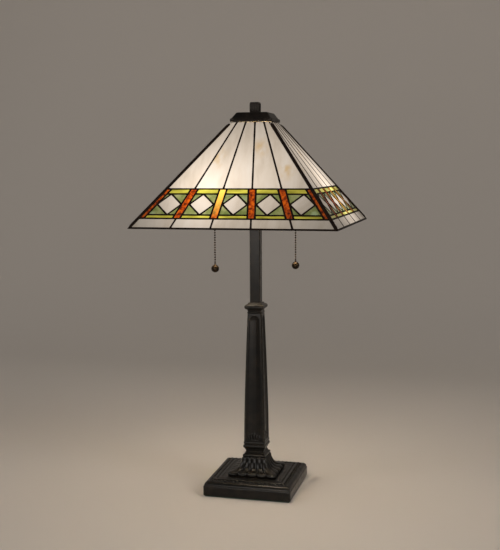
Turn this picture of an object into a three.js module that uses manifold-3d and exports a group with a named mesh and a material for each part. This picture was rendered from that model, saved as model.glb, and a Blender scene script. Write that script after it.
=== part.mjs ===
// Stained glass table lamp with a square pyramid shade, two pull-chain sockets, a slim post,
// a tapered column with recessed panels, a fluted pedestal and a stepped square base.
// Millimetres, +Z up, origin at the centre of the underside, the front face towards -Y.

import * as THREE from 'three';
import { mergeVertices } from 'three/addons/utils/BufferGeometryUtils.js';
import Module from 'manifold-3d';

// ---- Driving dimensions -------------------------------------------------------------------

const GAP = 0.3; // between two pieces that touch
const RUNNING_GAP = 0.6; // around a piece that turns or slides
const ROUND_SEGMENTS = 16; // sides of a small round piece
const PAST = 1; // of a cutting tool beyond the surface that it opens

// Base
const FELT_THICKNESS = 1.5;
const FELT_INSET = 2.5;
const BASE_HALF = 75;
const BASE_SIDE_TOP = 18.5;
const BASE_TOP = 28;
const BASE_WALL = 4;
const BASE_EDGE_INSET = 1;
const BASE_EDGE_RISE = 0.6;
const BORDER_OUTER_HALF = 67.5;
const BORDER_INNER_HALF = 61;
const BORDER_LEVEL = 25.8;
const BORDER_STEP_INSET = 1;
const FRAME_LINE_HALF = 55.5;
const FRAME_GROOVE = 1; // its depth, and half its width
const BALLAST_HALF = 50;
const BALLAST_THICKNESS = 9;

// Threaded rod, its washer and nut, and the bushing that the cord comes out of
const ROD_RADIUS = 4.9;
const ROD_BORE_RADIUS = 3.4;
const ROD_END_LENGTH = 4; // of rod below its nut
const WASHER_RADIUS = 13;
const WASHER_THICKNESS = 2;
const NUT_ACROSS_FLATS = 19;
const NUT_THICKNESS = 4.5;
const BUSHING_LEVEL = 9.5;
const BUSHING_SEAT_DEPTH = 2; // of its hole, in thicknesses of the base's wall
const BUSHING_RADIUS = 4.2;
const BUSHING_BORE_RADIUS = 2.8;
const BUSHING_FLANGE_RADIUS = 5.8;
const BUSHING_FLANGE_THICKNESS = 1.6;
const BUSHING_TAIL_LENGTH = 3;

// Pedestal and waist collar
const PEDESTAL_HEIGHT = 34.5;
const PEDESTAL_FOOT_HALF = 42.5;
const PEDESTAL_NECK_HALF = 20.2;
const PEDESTAL_TIP_HEIGHT = 4.6; // of the leaves' upright ends
const PEDESTAL_ARC_STEPS = 7;
const PEDESTAL_RIM_HALF = 20;
const PEDESTAL_RIM_HEIGHT = 5.5;
const PEDESTAL_RIM_PROFILE = [[1, 0], [0, 0.4], [1, 0.8], [3.6, 1]]; // [inset, share of its height]
const PEDESTAL_RIM_ROOT_INSET = 3;
const LEAVES_PER_SIDE = 5;
const LEAF_ARC_STEPS = 3;
const LEAF_DEPTH = 0.085; // share of the pedestal's half width at each height
const WAIST_HALF = 15.4;
const WAIST_HEIGHT = 7.2;
const WAIST_PROFILE = [[1.4, 0], [0, 0.21], [0, 0.65], [1.6, 1]]; // [outset, share of its height]

// Column
const COLUMN_HEIGHT = 234.5;
const COLUMN_FOOT_HALF = 19.2;
const COLUMN_FOOT_PROFILE = [ // [inset from the foot's half width, rise]
  [2.4, 0], [0.6, 2.4], [0, 3.2], [0, 6.4], [1.4, 7.8], [1.4, 8.6], [0.7, 9.2], [0.7, 12],
];
const COLUMN_CHAMFER = 2.6; // width that it takes off each face
const COLUMN_BOTTOM_HALF = 18.4;
const COLUMN_TOP_HALF = 12.4;
const COLUMN_ENTASIS = 1.45;
const COLUMN_TAPER_START = 13;
const COLUMN_TAPER_STEPS = 6;
const COLUMN_BORE_BOTTOM = 13.5;
const COLUMN_BORE_TOP = 8.4;
const PANEL_MARGIN = 5.4;
const PANEL_DEPTH = 1.8;
const PANEL_TOOL_LENGTH = 30;
const PANEL_START = 16;
const PANEL_END_MARGIN = 4;

// Cushion collar and post
const COLLAR_HEIGHT = 18.2;
const COLLAR_PROFILE = [ // [half width, rise]
  [12.5, 0], [12.9, 1], [12.1, 2], [12.1, 4.4], [13.4, 6.6], [15, 7.4], [16.2, 8.8], [16.6, 10.8],
  [16.2, 12.8], [14.8, 14.4], [12.2, 15.2], [12, 16.4], [10.6, 18.2],
];
const POST_HALF = 8.8;
const POST_HEIGHT = 128.4;
const POST_WALL = 2;

// Light cluster, sockets and bulbs
const CLUSTER_YAW = 32; // degrees from the +X axis, seen from above
const CLUSTER_RADIUS = 20;
const CLUSTER_HEIGHT = 19;
const CLUSTER_ARM_RADIUS = 6.5;
const CLUSTER_ARM_LENGTH = 13;
const CLUSTER_FOOT_BEVEL = 3;
const CLUSTER_HEAD_BEVEL = 6;
const SOCKET_TILT = 30; // degrees from upright
const SOCKET_FOOT_RADIUS = 27; // from the lamp's axis
const SOCKET_FOOT_RISE = 12; // above the cluster's underside
const SOCKET_CAP_LENGTH = 12;
const SOCKET_CAP_FOOT_RADIUS = 8;
const SOCKET_CAP_SHOULDER = [14.5, 0.35]; // [radius, share of its length]
const SOCKET_CAP_RIM = 0.8; // share of its length at which the cap turns upright
const SOCKET_SHELL_LENGTH = 30;
const SOCKET_RADIUS = 18.5;
const SOCKET_WALL = 1.4;
const SOCKET_BEAD = 0.9;
const SOCKET_BEAD_LENGTH = 4;
const SOCKET_FLOOR_THICKNESS = 2;
const BULB_BASE_RADIUS = 13;
const BULB_BASE_LENGTH = 24;
const BULB_CONTACT_RADIUS = 4;
const BULB_CONTACT_LENGTH = 5;
const BULB_THREADS = 3;
const BULB_THREADS_START = 6;
const BULB_THREADS_END_MARGIN = 3;
const BULB_THREAD_DEPTH = 0.8;
const BULB_RADIUS = 23;
const BULB_NECK_RADIUS = 13.5;
const BULB_NECK_LENGTH = 8;
const BULB_ARC_STEPS = 5;
const BULB_ARC_START = -36; // degrees above the bulb's widest ring
const BULB_GLASS_LENGTH = 56;
const BULB_GLASS_WALL = 1;
const RISER_TOP_MARGIN = 6; // of riser short of the finial's top

// Pull chains
const CHAIN_REACH = 72; // of each chain from the lamp's axis
const CHAIN_BEAD_RADIUS = 1.6;
const CHAIN_BEAD_PITCH = 4.1;
const CHAIN_WIRE_RADIUS = 0.6;
const CHAIN_BEADS = 14;
const CHAIN_BALL_RADIUS = 6.6;
const CHAIN_BALL_COLLAR = 2.4; // its radius and height
const CHAIN_BALL_CHAMFER = 0.6;
const CHAIN_BALL_STEPS = 8;
const STEM_RADIUS = 1.3;
const STEM_LENGTH = 15;
const STEM_BELOW_BELL = 1.2;
const BELL_RADIUS = 3.6;
const BELL_LIP_RADIUS = 5.4;
const BELL_LIP_HEIGHT = 4;
const BELL_LENGTH = 18;
const BELL_CROWN_CHAMFER = 1;
const BELL_CEILING = 2;
const BELL_ARM_RADIUS = 3.2;
const BELL_ARM_RISE = 13; // of the arm's end above the bell's mouth
const BELL_MOUTH_DROP = 1.6; // of the bell's mouth below the cluster

// Shade
const RIM_HALF = 167.5;
const CROWN_HALF = 34.5;
const RIM_RISE = 5; // above the cluster's underside
const SHADE_SLOPE = 51.8; // degrees from level
const GLASS_THICKNESS = 3;
const SEAM_PROUD = 0.8; // of the solder above each side of the glass
const SEAM_WIDTH = 2.8;
const MIDDLE_PANE_AT_RIM = 64.8;
const INNER_PANE_AT_RIM = 65.6;
const MIDDLE_PANE_AT_CROWN = 15.6;
const INNER_PANE_AT_CROWN = 14.8;
const BAND_BOTTOM_SLANT = 21;
const BAND_TOP_SLANT = 78.4;
const HIP_SEAM_RADIUS = 3;
const HIP_SEAM_DEPTH = 2; // of the seam's centre below the hip line
const SEAM_GRIP = 0.8; // width of seam that laps each edge of the glass
const RIM_BAR_HEIGHT = 3.4;
const CROWN_RING_HEIGHT = 7;
const CROWN_RING_WALL = 2;

// Cap and finial
const CAP_OVERHANG = 0.7; // of the cap's flange past the crown of the shade
const CAP_FLANGE_HEIGHT = 5.8;
const CAP_HEIGHT = 15.7;
const CAP_TOP_HALF = 26.1;
const CAP_WALL = 2.2;
const CAP_HOLLOW_INSET = 2.6; // of the hollow from the slopes, measured level
const CAP_FLANGE_CHAMFER = 0.8;
const CAP_FLANGE_LEDGE = 1.6;
const FINIAL_HALF = 8;
const FINIAL_HEIGHT = 17.2;
const FINIAL_RIBS = 3; // per side
const FINIAL_RIB_DEPTH = 0.7;
const FINIAL_RIB_GAP = 1.4;
const FINIAL_PROFILE = [[0.6, 0], [0, 1], [0, 15.2], [1.2, 17.2]]; // [inset, rise]
const FINIAL_PLAIN_FOOT = 2; // of height below the ribs
const FINIAL_BORE_END = 2; // past the end of the riser
const SEAT_WASHER_RADIUS = 15;
const SEAT_WASHER_THICKNESS = 2.5;

// ---- Levels that follow from the sizes above ------------------------------------------------

const BASE_BOTTOM = FELT_THICKNESS + GAP;
const BASE_CEILING = BASE_TOP - BASE_WALL;
const BALLAST_BOTTOM = BASE_CEILING - GAP - BALLAST_THICKNESS;
const BOTTOM_WASHER_LEVEL = BALLAST_BOTTOM - GAP - WASHER_THICKNESS;
const BOTTOM_NUT_LEVEL = BOTTOM_WASHER_LEVEL - GAP - NUT_THICKNESS;
const PEDESTAL_BOTTOM = BASE_TOP + GAP;
const PEDESTAL_TOP = PEDESTAL_BOTTOM + PEDESTAL_HEIGHT;
const WAIST_BOTTOM = PEDESTAL_TOP + GAP;
const COLUMN_BOTTOM = WAIST_BOTTOM + WAIST_HEIGHT + GAP;
const COLUMN_TOP = COLUMN_BOTTOM + COLUMN_HEIGHT;
const COLLAR_BOTTOM = COLUMN_TOP + GAP;
const POST_BOTTOM = COLLAR_BOTTOM + COLLAR_HEIGHT + GAP;
const CLUSTER_BOTTOM = POST_BOTTOM + POST_HEIGHT + GAP;
const CLUSTER_TOP = CLUSTER_BOTTOM + CLUSTER_HEIGHT;
const CLUSTER_MIDDLE = CLUSTER_BOTTOM + CLUSTER_HEIGHT / 2;
const BORE_RADIUS = ROD_RADIUS + GAP;
const SEAM_DEPTH = GLASS_THICKNESS + 2 * SEAM_PROUD;
const SLOPE = THREE.MathUtils.degToRad(SHADE_SLOPE);
const RIM_LEVEL = CLUSTER_BOTTOM + RIM_RISE;
const SHADE_SLANT = (RIM_HALF - CROWN_HALF) / Math.cos(SLOPE);
const CAP_FLANGE_HALF = CROWN_HALF + CAP_OVERHANG;
const CAP_FLANGE_LEVEL = RIM_LEVEL + SHADE_SLANT * Math.sin(SLOPE) + GAP;
const CAP_TOP_LEVEL = CAP_FLANGE_LEVEL + CAP_HEIGHT;
const CAP_CEILING = CAP_TOP_LEVEL - CAP_WALL;
const SEAT_WASHER_LEVEL = CAP_CEILING - GAP - SEAT_WASHER_THICKNESS;
const SEAT_NUT_LEVEL = SEAT_WASHER_LEVEL - GAP - NUT_THICKNESS;
const FINIAL_BOTTOM = CAP_TOP_LEVEL + GAP;
const FINIAL_TOP = FINIAL_BOTTOM + FINIAL_HEIGHT;
const BELL_MOUTH_LEVEL = CLUSTER_BOTTOM - BELL_MOUTH_DROP;

// ---- Materials ----------------------------------------------------------------------------

function material(color, roughness, metalness) {
  return new THREE.MeshStandardMaterial({ color, roughness, metalness });
}

const bronze = material(0x2a2724, 0.45, 0.8);
const capMetal = material(0x1d1a18, 0.5, 0.7);
const steel = material(0x8c8c88, 0.4, 1);
const iron = material(0x3a3836, 0.8, 0.6);
const brass = material(0xa98a4e, 0.35, 1);
const felt = material(0x1f3326, 0.95, 0);
const plastic = material(0x1a1a1a, 0.6, 0);
const solder = material(0x241c16, 0.5, 0.7);
const creamGlass = material(0xe8dcc4, 0.15, 0);
const bandGlass = material(0x9aa574, 0.15, 0);
const bulbGlass = material(0xfff3dd, 0.3, 0);
const chainMetal = material(0x6b5a40, 0.4, 1);

// ---- Helpers ------------------------------------------------------------------------------

const wasm = await Module();
wasm.setup();

// A closed geometry as a solid that can be joined and cut.
function toSolid(geometry) {
  const bare = geometry.clone();
  for (const name of Object.keys(bare.attributes)) {
    if (name !== 'position') bare.deleteAttribute(name);
  }
  const merged = mergeVertices(bare, 1e-4);
  const index = [];
  const source = merged.index.array;
  for (let i = 0; i < source.length; i += 3) {
    const [a, b, c] = source.subarray(i, i + 3);
    if (a !== b && b !== c && c !== a) index.push(a, b, c);
  }
  return new wasm.Manifold(
    new wasm.Mesh({
      numProp: 3,
      vertProperties: new Float32Array(merged.attributes.position.array),
      triVerts: new Uint32Array(index),
    }),
  );
}

function toGeometry(solid) {
  const mesh = solid.getMesh();
  const geometry = new THREE.BufferGeometry();
  geometry.setAttribute('position', new THREE.BufferAttribute(mesh.vertProperties, 3));
  geometry.setIndex(new THREE.BufferAttribute(mesh.triVerts, 1));
  geometry.computeVertexNormals();
  return geometry;
}

function cut(body, ...tools) {
  return toGeometry(tools.reduce((rest, tool) => rest.subtract(toSolid(tool)), toSolid(body)));
}

function join(...bodies) {
  return toGeometry(bodies.map(toSolid).reduce((sum, body) => sum.add(body)));
}

function common(first, second) {
  return toGeometry(toSolid(first).intersect(toSolid(second)));
}

// A profile of [radius, level] points turned about the Z axis.
function turned(profile, segments = ROUND_SEGMENTS) {
  const points = profile.map(([radius, level]) => new THREE.Vector2(radius, level));
  return new THREE.LatheGeometry(points, segments).rotateX(Math.PI / 2);
}

// A profile of [half width, level] points run round a square with mitred corners.
function squareTurned(profile) {
  const points = profile.map(([half, level]) => new THREE.Vector2(half * Math.SQRT2, level));
  return new THREE.LatheGeometry(points, 4, Math.PI / 4).rotateX(Math.PI / 2);
}

function rod(radius, bottom, top, segments = ROUND_SEGMENTS) {
  return turned([[0, bottom], [radius, bottom], [radius, top], [0, top]], segments);
}

function pipe(outer, inner, bottom, top, segments = ROUND_SEGMENTS) {
  return turned(
    [[inner, bottom], [outer, bottom], [outer, top], [inner, top], [inner, bottom]],
    segments,
  );
}

function cuboid(halfX, halfY, bottom, top) {
  const box = new THREE.BoxGeometry(2 * halfX, 2 * halfY, top - bottom);
  return box.translate(0, 0, (bottom + top) / 2);
}

// A bulging quarter round between two [half width, level] points, upright at the first.
function quarterRound([half0, level0], [half1, level1], steps = 4) {
  const points = [];
  for (let i = 0; i <= steps; i += 1) {
    const turn = (i / steps) * (Math.PI / 2);
    const inward = 1 - Math.cos(turn);
    points.push([half0 + (half1 - half0) * inward, level0 + (level1 - level0) * Math.sin(turn)]);
  }
  return points;
}

function named(name, geometry, meshMaterial) {
  const mesh = new THREE.Mesh(geometry, meshMaterial);
  mesh.name = name;
  return mesh;
}

const lamp = new THREE.Group();

// ---- Base -----------------------------------------------------------------------------------

function basePlateGeometry() {
  const shell = squareTurned([
    [0, BASE_BOTTOM],
    [BASE_HALF, BASE_BOTTOM],
    [BASE_HALF, BASE_SIDE_TOP],
    ...quarterRound(
      [BASE_HALF - BASE_EDGE_INSET, BASE_SIDE_TOP + BASE_EDGE_RISE],
      [BORDER_OUTER_HALF, BORDER_LEVEL],
    ),
    [BORDER_INNER_HALF, BORDER_LEVEL],
    [BORDER_INNER_HALF - BORDER_STEP_INSET, BASE_TOP],
    [FRAME_LINE_HALF + FRAME_GROOVE, BASE_TOP],
    [FRAME_LINE_HALF, BASE_TOP - FRAME_GROOVE],
    [FRAME_LINE_HALF - FRAME_GROOVE, BASE_TOP],
    [0, BASE_TOP],
  ]);
  const hollow = squareTurned([
    [0, BASE_BOTTOM - PAST],
    [BASE_HALF - BASE_WALL, BASE_BOTTOM - PAST],
    [BASE_HALF - BASE_WALL, BASE_SIDE_TOP - BASE_WALL],
    [BORDER_INNER_HALF - BASE_WALL, BORDER_LEVEL - BASE_WALL],
    [BORDER_INNER_HALF - BASE_WALL, BASE_CEILING],
    [0, BASE_CEILING],
  ]);
  const rodHole = rod(BORE_RADIUS, BASE_CEILING - PAST, BASE_TOP + PAST);
  const bushingHole = rod(BUSHING_RADIUS + GAP, 0, BUSHING_SEAT_DEPTH * BASE_WALL)
    .rotateX(-Math.PI / 2)
    .translate(0, BASE_HALF + PAST - BUSHING_SEAT_DEPTH * BASE_WALL, BUSHING_LEVEL);
  return cut(shell, hollow, rodHole, bushingHole);
}

function bushingGeometry() {
  const tail = BUSHING_FLANGE_THICKNESS + GAP + BASE_WALL + BUSHING_TAIL_LENGTH;
  return turned([
    [BUSHING_BORE_RADIUS, 0],
    [BUSHING_FLANGE_RADIUS, 0],
    [BUSHING_FLANGE_RADIUS, BUSHING_FLANGE_THICKNESS],
    [BUSHING_RADIUS, BUSHING_FLANGE_THICKNESS],
    [BUSHING_RADIUS, tail],
    [BUSHING_BORE_RADIUS, tail],
    [BUSHING_BORE_RADIUS, 0],
  ])
    .rotateX(Math.PI / 2)
    .translate(0, BASE_HALF + GAP + BUSHING_FLANGE_THICKNESS, BUSHING_LEVEL);
}

function hexNut(level) {
  const body = rod(NUT_ACROSS_FLATS / Math.sqrt(3), level, level + NUT_THICKNESS, 6);
  return cut(body, rod(BORE_RADIUS, level - PAST, level + NUT_THICKNESS + PAST));
}

const FELT_HALF = BASE_HALF - FELT_INSET;

lamp.add(
  named('base_felt', cuboid(FELT_HALF, FELT_HALF, 0, FELT_THICKNESS), felt),
  named('base_plate', basePlateGeometry(), bronze),
  named(
    'ballast_plate',
    cut(
      cuboid(BALLAST_HALF, BALLAST_HALF, BALLAST_BOTTOM, BALLAST_BOTTOM + BALLAST_THICKNESS),
      rod(BORE_RADIUS, BALLAST_BOTTOM - PAST, BASE_CEILING),
    ),
    iron,
  ),
  named(
    'bottom_washer',
    pipe(WASHER_RADIUS, BORE_RADIUS, BOTTOM_WASHER_LEVEL, BOTTOM_WASHER_LEVEL + WASHER_THICKNESS),
    steel,
  ),
  named('bottom_nut', hexNut(BOTTOM_NUT_LEVEL), steel),
  named('cord_bushing', bushingGeometry(), plastic),
);

// ---- Pedestal and waist collar ---------------------------------------------------------------

// One square outline of half width 1 with rounded leaves standing out of each side.
function leafOutline() {
  const stepsPerSide = LEAVES_PER_SIDE * LEAF_ARC_STEPS;
  const points = [];
  for (let side = 0; side < 4; side += 1) {
    for (let step = 0; step < stepsPerSide; step += 1) {
      const along = -1 + (2 * step) / stepsPerSide;
      const swell = Math.abs(Math.sin((Math.PI * step) / LEAF_ARC_STEPS));
      const point = new THREE.Vector2(along, -1 + LEAF_DEPTH * (1 - swell));
      point.rotateAround(new THREE.Vector2(), (side * Math.PI) / 2);
      points.push(point);
    }
  }
  return new THREE.Shape(points);
}

// The leaves' [half width, level], from their upright ends up a hollow quarter round to the rim.
function leafProfile() {
  const width = PEDESTAL_FOOT_HALF - PEDESTAL_NECK_HALF;
  const tipTop = PEDESTAL_BOTTOM + PEDESTAL_TIP_HEIGHT;
  const height = PEDESTAL_TOP - PEDESTAL_RIM_HEIGHT - tipTop;
  const profile = [[PEDESTAL_FOOT_HALF, PEDESTAL_BOTTOM]];
  for (let step = 0; step <= PEDESTAL_ARC_STEPS; step += 1) {
    const turn = (step / PEDESTAL_ARC_STEPS) * (Math.PI / 2);
    profile.push([
      PEDESTAL_FOOT_HALF - width * Math.sin(turn),
      tipTop + height * (1 - Math.cos(turn)),
    ]);
  }
  return profile;
}

function pedestalGeometry() {
  const profile = leafProfile();
  const steps = profile.length - 1;
  const outline = leafOutline();
  const leaves = new THREE.ExtrudeGeometry(outline, { depth: steps, steps, bevelEnabled: false });
  const position = leaves.attributes.position;
  for (let i = 0; i < position.count; i += 1) {
    const [half, level] = profile[Math.round(position.getZ(i))];
    position.setXYZ(i, position.getX(i) * half, position.getY(i) * half, level);
  }
  const rimBottom = PEDESTAL_TOP - PEDESTAL_RIM_HEIGHT;
  const rootHalf = PEDESTAL_NECK_HALF - PEDESTAL_RIM_ROOT_INSET;
  const rim = squareTurned([
    [0, rimBottom - PAST],
    [rootHalf, rimBottom - PAST],
    [rootHalf, rimBottom],
    ...PEDESTAL_RIM_PROFILE.map(([inset, share]) =>
      [PEDESTAL_RIM_HALF - inset, rimBottom + share * PEDESTAL_RIM_HEIGHT]),
    [0, PEDESTAL_TOP],
  ]);
  const bore = rod(BORE_RADIUS, PEDESTAL_BOTTOM - PAST, PEDESTAL_TOP + PAST);
  return cut(join(leaves, rim), bore);
}

function waistGeometry() {
  const top = WAIST_BOTTOM + WAIST_HEIGHT;
  const waist = squareTurned([
    [0, WAIST_BOTTOM],
    ...WAIST_PROFILE.map(([outset, share]) =>
      [WAIST_HALF + outset, WAIST_BOTTOM + share * WAIST_HEIGHT]),
    [0, top],
  ]);
  return cut(waist, rod(BORE_RADIUS, WAIST_BOTTOM - PAST, top + PAST));
}

lamp.add(
  named('fluted_pedestal', pedestalGeometry(), bronze),
  named('waist_collar', waistGeometry(), bronze),
);

// ---- Column ----------------------------------------------------------------------------------

// Half width of the column at a share of the way up its taper.
function columnHalf(share) {
  return COLUMN_TOP_HALF + (COLUMN_BOTTOM_HALF - COLUMN_TOP_HALF) * (1 - share ** COLUMN_ENTASIS);
}

// A recessed panel with an arched top, lying along the column's front face.
function panelTool() {
  const taperLength = COLUMN_HEIGHT - COLUMN_TAPER_START;
  const low = PANEL_START - COLUMN_TAPER_START;
  const high = taperLength - PANEL_END_MARGIN;
  const faceLow = columnHalf(low / taperLength);
  const faceHigh = columnHalf(high / taperLength);
  const archHalf = faceHigh - PANEL_MARGIN;
  const outline = new THREE.Shape();
  outline.moveTo(PANEL_MARGIN - faceLow, low);
  outline.lineTo(faceLow - PANEL_MARGIN, low);
  outline.lineTo(archHalf, high - archHalf);
  outline.absarc(0, high - archHalf, archHalf, 0, Math.PI);
  outline.closePath();
  const tool = new THREE.ExtrudeGeometry(outline, {
    depth: PANEL_TOOL_LENGTH,
    curveSegments: 6,
    bevelEnabled: false,
  });
  const lean = Math.atan((faceLow - faceHigh) / (high - low));
  tool.translate(0, -low, 0).rotateX(Math.PI / 2 - lean);
  return tool.translate(0, PANEL_DEPTH - faceLow, COLUMN_BOTTOM + PANEL_START);
}

// Points of the column's taper as [half width, level].
function taperProfile() {
  const taperBottom = COLUMN_BOTTOM + COLUMN_TAPER_START;
  const profile = [];
  for (let step = 0; step <= COLUMN_TAPER_STEPS; step += 1) {
    const share = step / COLUMN_TAPER_STEPS;
    profile.push([columnHalf(share), taperBottom + share * (COLUMN_TOP - taperBottom)]);
  }
  return profile;
}

function columnGeometry() {
  const taper = taperProfile();
  const body = squareTurned([
    [0, COLUMN_BOTTOM],
    ...COLUMN_FOOT_PROFILE.map(([inset, rise]) => [COLUMN_FOOT_HALF - inset, COLUMN_BOTTOM + rise]),
    ...taper,
    [0, COLUMN_TOP],
  ]);
  // A square tower turned by 45 degrees trims the corners of the taper and clears the foot.
  const cornerHalf = (half) => half * Math.SQRT2 - COLUMN_CHAMFER * Math.SQRT1_2;
  const clearHalf = COLUMN_FOOT_HALF * Math.SQRT2 + PAST;
  const trim = squareTurned([
    [0, COLUMN_BOTTOM - PAST],
    [clearHalf, COLUMN_BOTTOM - PAST],
    [clearHalf, taper[0][1]],
    ...taper.map(([half, level]) => [cornerHalf(half), level]),
    [cornerHalf(COLUMN_TOP_HALF), COLUMN_TOP + PAST],
    [0, COLUMN_TOP + PAST],
  ]).rotateZ(Math.PI / 4);
  const bore = turned([
    [0, COLUMN_BOTTOM - PAST],
    [COLUMN_BORE_BOTTOM, COLUMN_BOTTOM - PAST],
    [COLUMN_BORE_TOP, COLUMN_TOP + PAST],
    [0, COLUMN_TOP + PAST],
  ]);
  const panels = [0, 1, 2, 3].map((side) => panelTool().rotateZ((side * Math.PI) / 2));
  return cut(common(body, trim), bore, ...panels);
}

// ---- Cushion collar, post and rod --------------------------------------------------------------

function collarGeometry() {
  const top = COLLAR_BOTTOM + COLLAR_HEIGHT;
  const collar = squareTurned([
    [0, COLLAR_BOTTOM],
    ...COLLAR_PROFILE.map(([half, rise]) => [half, COLLAR_BOTTOM + rise]),
    [0, top],
  ]);
  return cut(collar, rod(BORE_RADIUS, COLLAR_BOTTOM - PAST, top + PAST));
}

function postGeometry() {
  const top = POST_BOTTOM + POST_HEIGHT;
  const inner = POST_HALF - POST_WALL;
  return cut(
    cuboid(POST_HALF, POST_HALF, POST_BOTTOM, top),
    cuboid(inner, inner, POST_BOTTOM - PAST, top + PAST),
  );
}

lamp.add(
  named('column_shaft', columnGeometry(), bronze),
  named('column_collar', collarGeometry(), bronze),
  named('upper_post', postGeometry(), bronze),
  named(
    'threaded_rod',
    pipe(ROD_RADIUS, ROD_BORE_RADIUS, BOTTOM_NUT_LEVEL - ROD_END_LENGTH, CLUSTER_MIDDLE - GAP),
    steel,
  ),
);

// ---- Light cluster -------------------------------------------------------------------------------

const tilt = THREE.MathUtils.degToRad(SOCKET_TILT);
const yaw = THREE.MathUtils.degToRad(CLUSTER_YAW);
const SOCKET_FOOT_LEVEL = CLUSTER_BOTTOM + SOCKET_FOOT_RISE;

// Puts a geometry built along +Z from a socket's foot into the lamp, for the socket that points
// along +X before the cluster's yaw.
function alongSocket(geometry) {
  return geometry.rotateY(tilt).translate(SOCKET_FOOT_RADIUS, 0, SOCKET_FOOT_LEVEL);
}

function clusterGeometry() {
  const hub = turned([
    [0, CLUSTER_BOTTOM],
    [CLUSTER_RADIUS - CLUSTER_FOOT_BEVEL, CLUSTER_BOTTOM],
    [CLUSTER_RADIUS, CLUSTER_BOTTOM + CLUSTER_FOOT_BEVEL],
    [CLUSTER_RADIUS, CLUSTER_TOP - CLUSTER_HEAD_BEVEL],
    [CLUSTER_RADIUS - CLUSTER_HEAD_BEVEL, CLUSTER_TOP],
    [0, CLUSTER_TOP],
  ]);
  const arm = alongSocket(rod(CLUSTER_ARM_RADIUS, -CLUSTER_ARM_LENGTH, -GAP));
  const otherArm = arm.clone().rotateZ(Math.PI);
  const bore = rod(BORE_RADIUS, CLUSTER_BOTTOM - PAST, CLUSTER_TOP + PAST);
  return cut(join(hub, arm, otherArm), bore);
}

function socketCapGeometry() {
  const [shoulderRadius, shoulderShare] = SOCKET_CAP_SHOULDER;
  return turned([
    [BORE_RADIUS, 0],
    [SOCKET_CAP_FOOT_RADIUS, 0],
    [shoulderRadius, SOCKET_CAP_LENGTH * shoulderShare],
    [SOCKET_RADIUS, SOCKET_CAP_LENGTH * SOCKET_CAP_RIM],
    [SOCKET_RADIUS, SOCKET_CAP_LENGTH],
    [SOCKET_RADIUS - SOCKET_WALL, SOCKET_CAP_LENGTH],
    [SOCKET_RADIUS - SOCKET_WALL, SOCKET_CAP_LENGTH * SOCKET_CAP_RIM],
    [BORE_RADIUS, SOCKET_WALL],
    [BORE_RADIUS, 0],
  ]);
}

function socketShellGeometry() {
  const bottom = SOCKET_CAP_LENGTH + GAP;
  const top = bottom + SOCKET_SHELL_LENGTH;
  const inner = SOCKET_RADIUS - SOCKET_WALL;
  return turned([
    [BORE_RADIUS, bottom],
    [SOCKET_RADIUS, bottom],
    [SOCKET_RADIUS, top - SOCKET_BEAD_LENGTH],
    [SOCKET_RADIUS + SOCKET_BEAD, top - SOCKET_BEAD_LENGTH / 2],
    [SOCKET_RADIUS, top],
    [inner, top],
    [inner, bottom + SOCKET_FLOOR_THICKNESS],
    [BORE_RADIUS, bottom + SOCKET_FLOOR_THICKNESS],
    [BORE_RADIUS, bottom],
  ]);
}

// The bulb's screw base: a contact, rounded threads and a plain collar under the glass.
function bulbBaseGeometry(bottom) {
  const top = bottom + BULB_BASE_LENGTH;
  const threadsLength = BULB_BASE_LENGTH - BULB_THREADS_START - BULB_THREADS_END_MARGIN;
  const pitch = threadsLength / BULB_THREADS;
  const profile = [
    [0, bottom],
    [BULB_CONTACT_RADIUS, bottom],
    [BULB_BASE_RADIUS - BULB_THREAD_DEPTH, bottom + BULB_CONTACT_LENGTH],
  ];
  for (let turn = 0; turn < BULB_THREADS; turn += 1) {
    const crest = bottom + BULB_THREADS_START + (turn + 0.25) * pitch;
    profile.push([BULB_BASE_RADIUS, crest], [BULB_BASE_RADIUS - BULB_THREAD_DEPTH, crest + pitch / 2]);
  }
  profile.push([BULB_BASE_RADIUS, top], [0, top]);
  return turned(profile);
}

// The bulb's glass: a hollow pear, open at the neck where the base closes it.
function bulbGlassGeometry(bottom) {
  const centre = bottom + BULB_GLASS_LENGTH - BULB_RADIUS;
  const inner = BULB_RADIUS - BULB_GLASS_WALL;
  const start = THREE.MathUtils.degToRad(BULB_ARC_START);
  const outerArc = [];
  const innerArc = [];
  for (let step = 0; step <= BULB_ARC_STEPS; step += 1) {
    const angle = THREE.MathUtils.lerp(start, Math.PI / 2, step / BULB_ARC_STEPS);
    const reach = step === BULB_ARC_STEPS ? 0 : Math.cos(angle);
    outerArc.push([BULB_RADIUS * reach, centre + BULB_RADIUS * Math.sin(angle)]);
    innerArc.unshift([inner * reach, centre + inner * Math.sin(angle)]);
  }
  const neck = BULB_NECK_RADIUS;
  return turned([
    ...innerArc,
    [neck - BULB_GLASS_WALL, bottom + BULB_NECK_LENGTH],
    [neck - BULB_GLASS_WALL, bottom],
    [neck, bottom],
    [neck, bottom + BULB_NECK_LENGTH],
    ...outerArc,
  ]);
}

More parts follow.
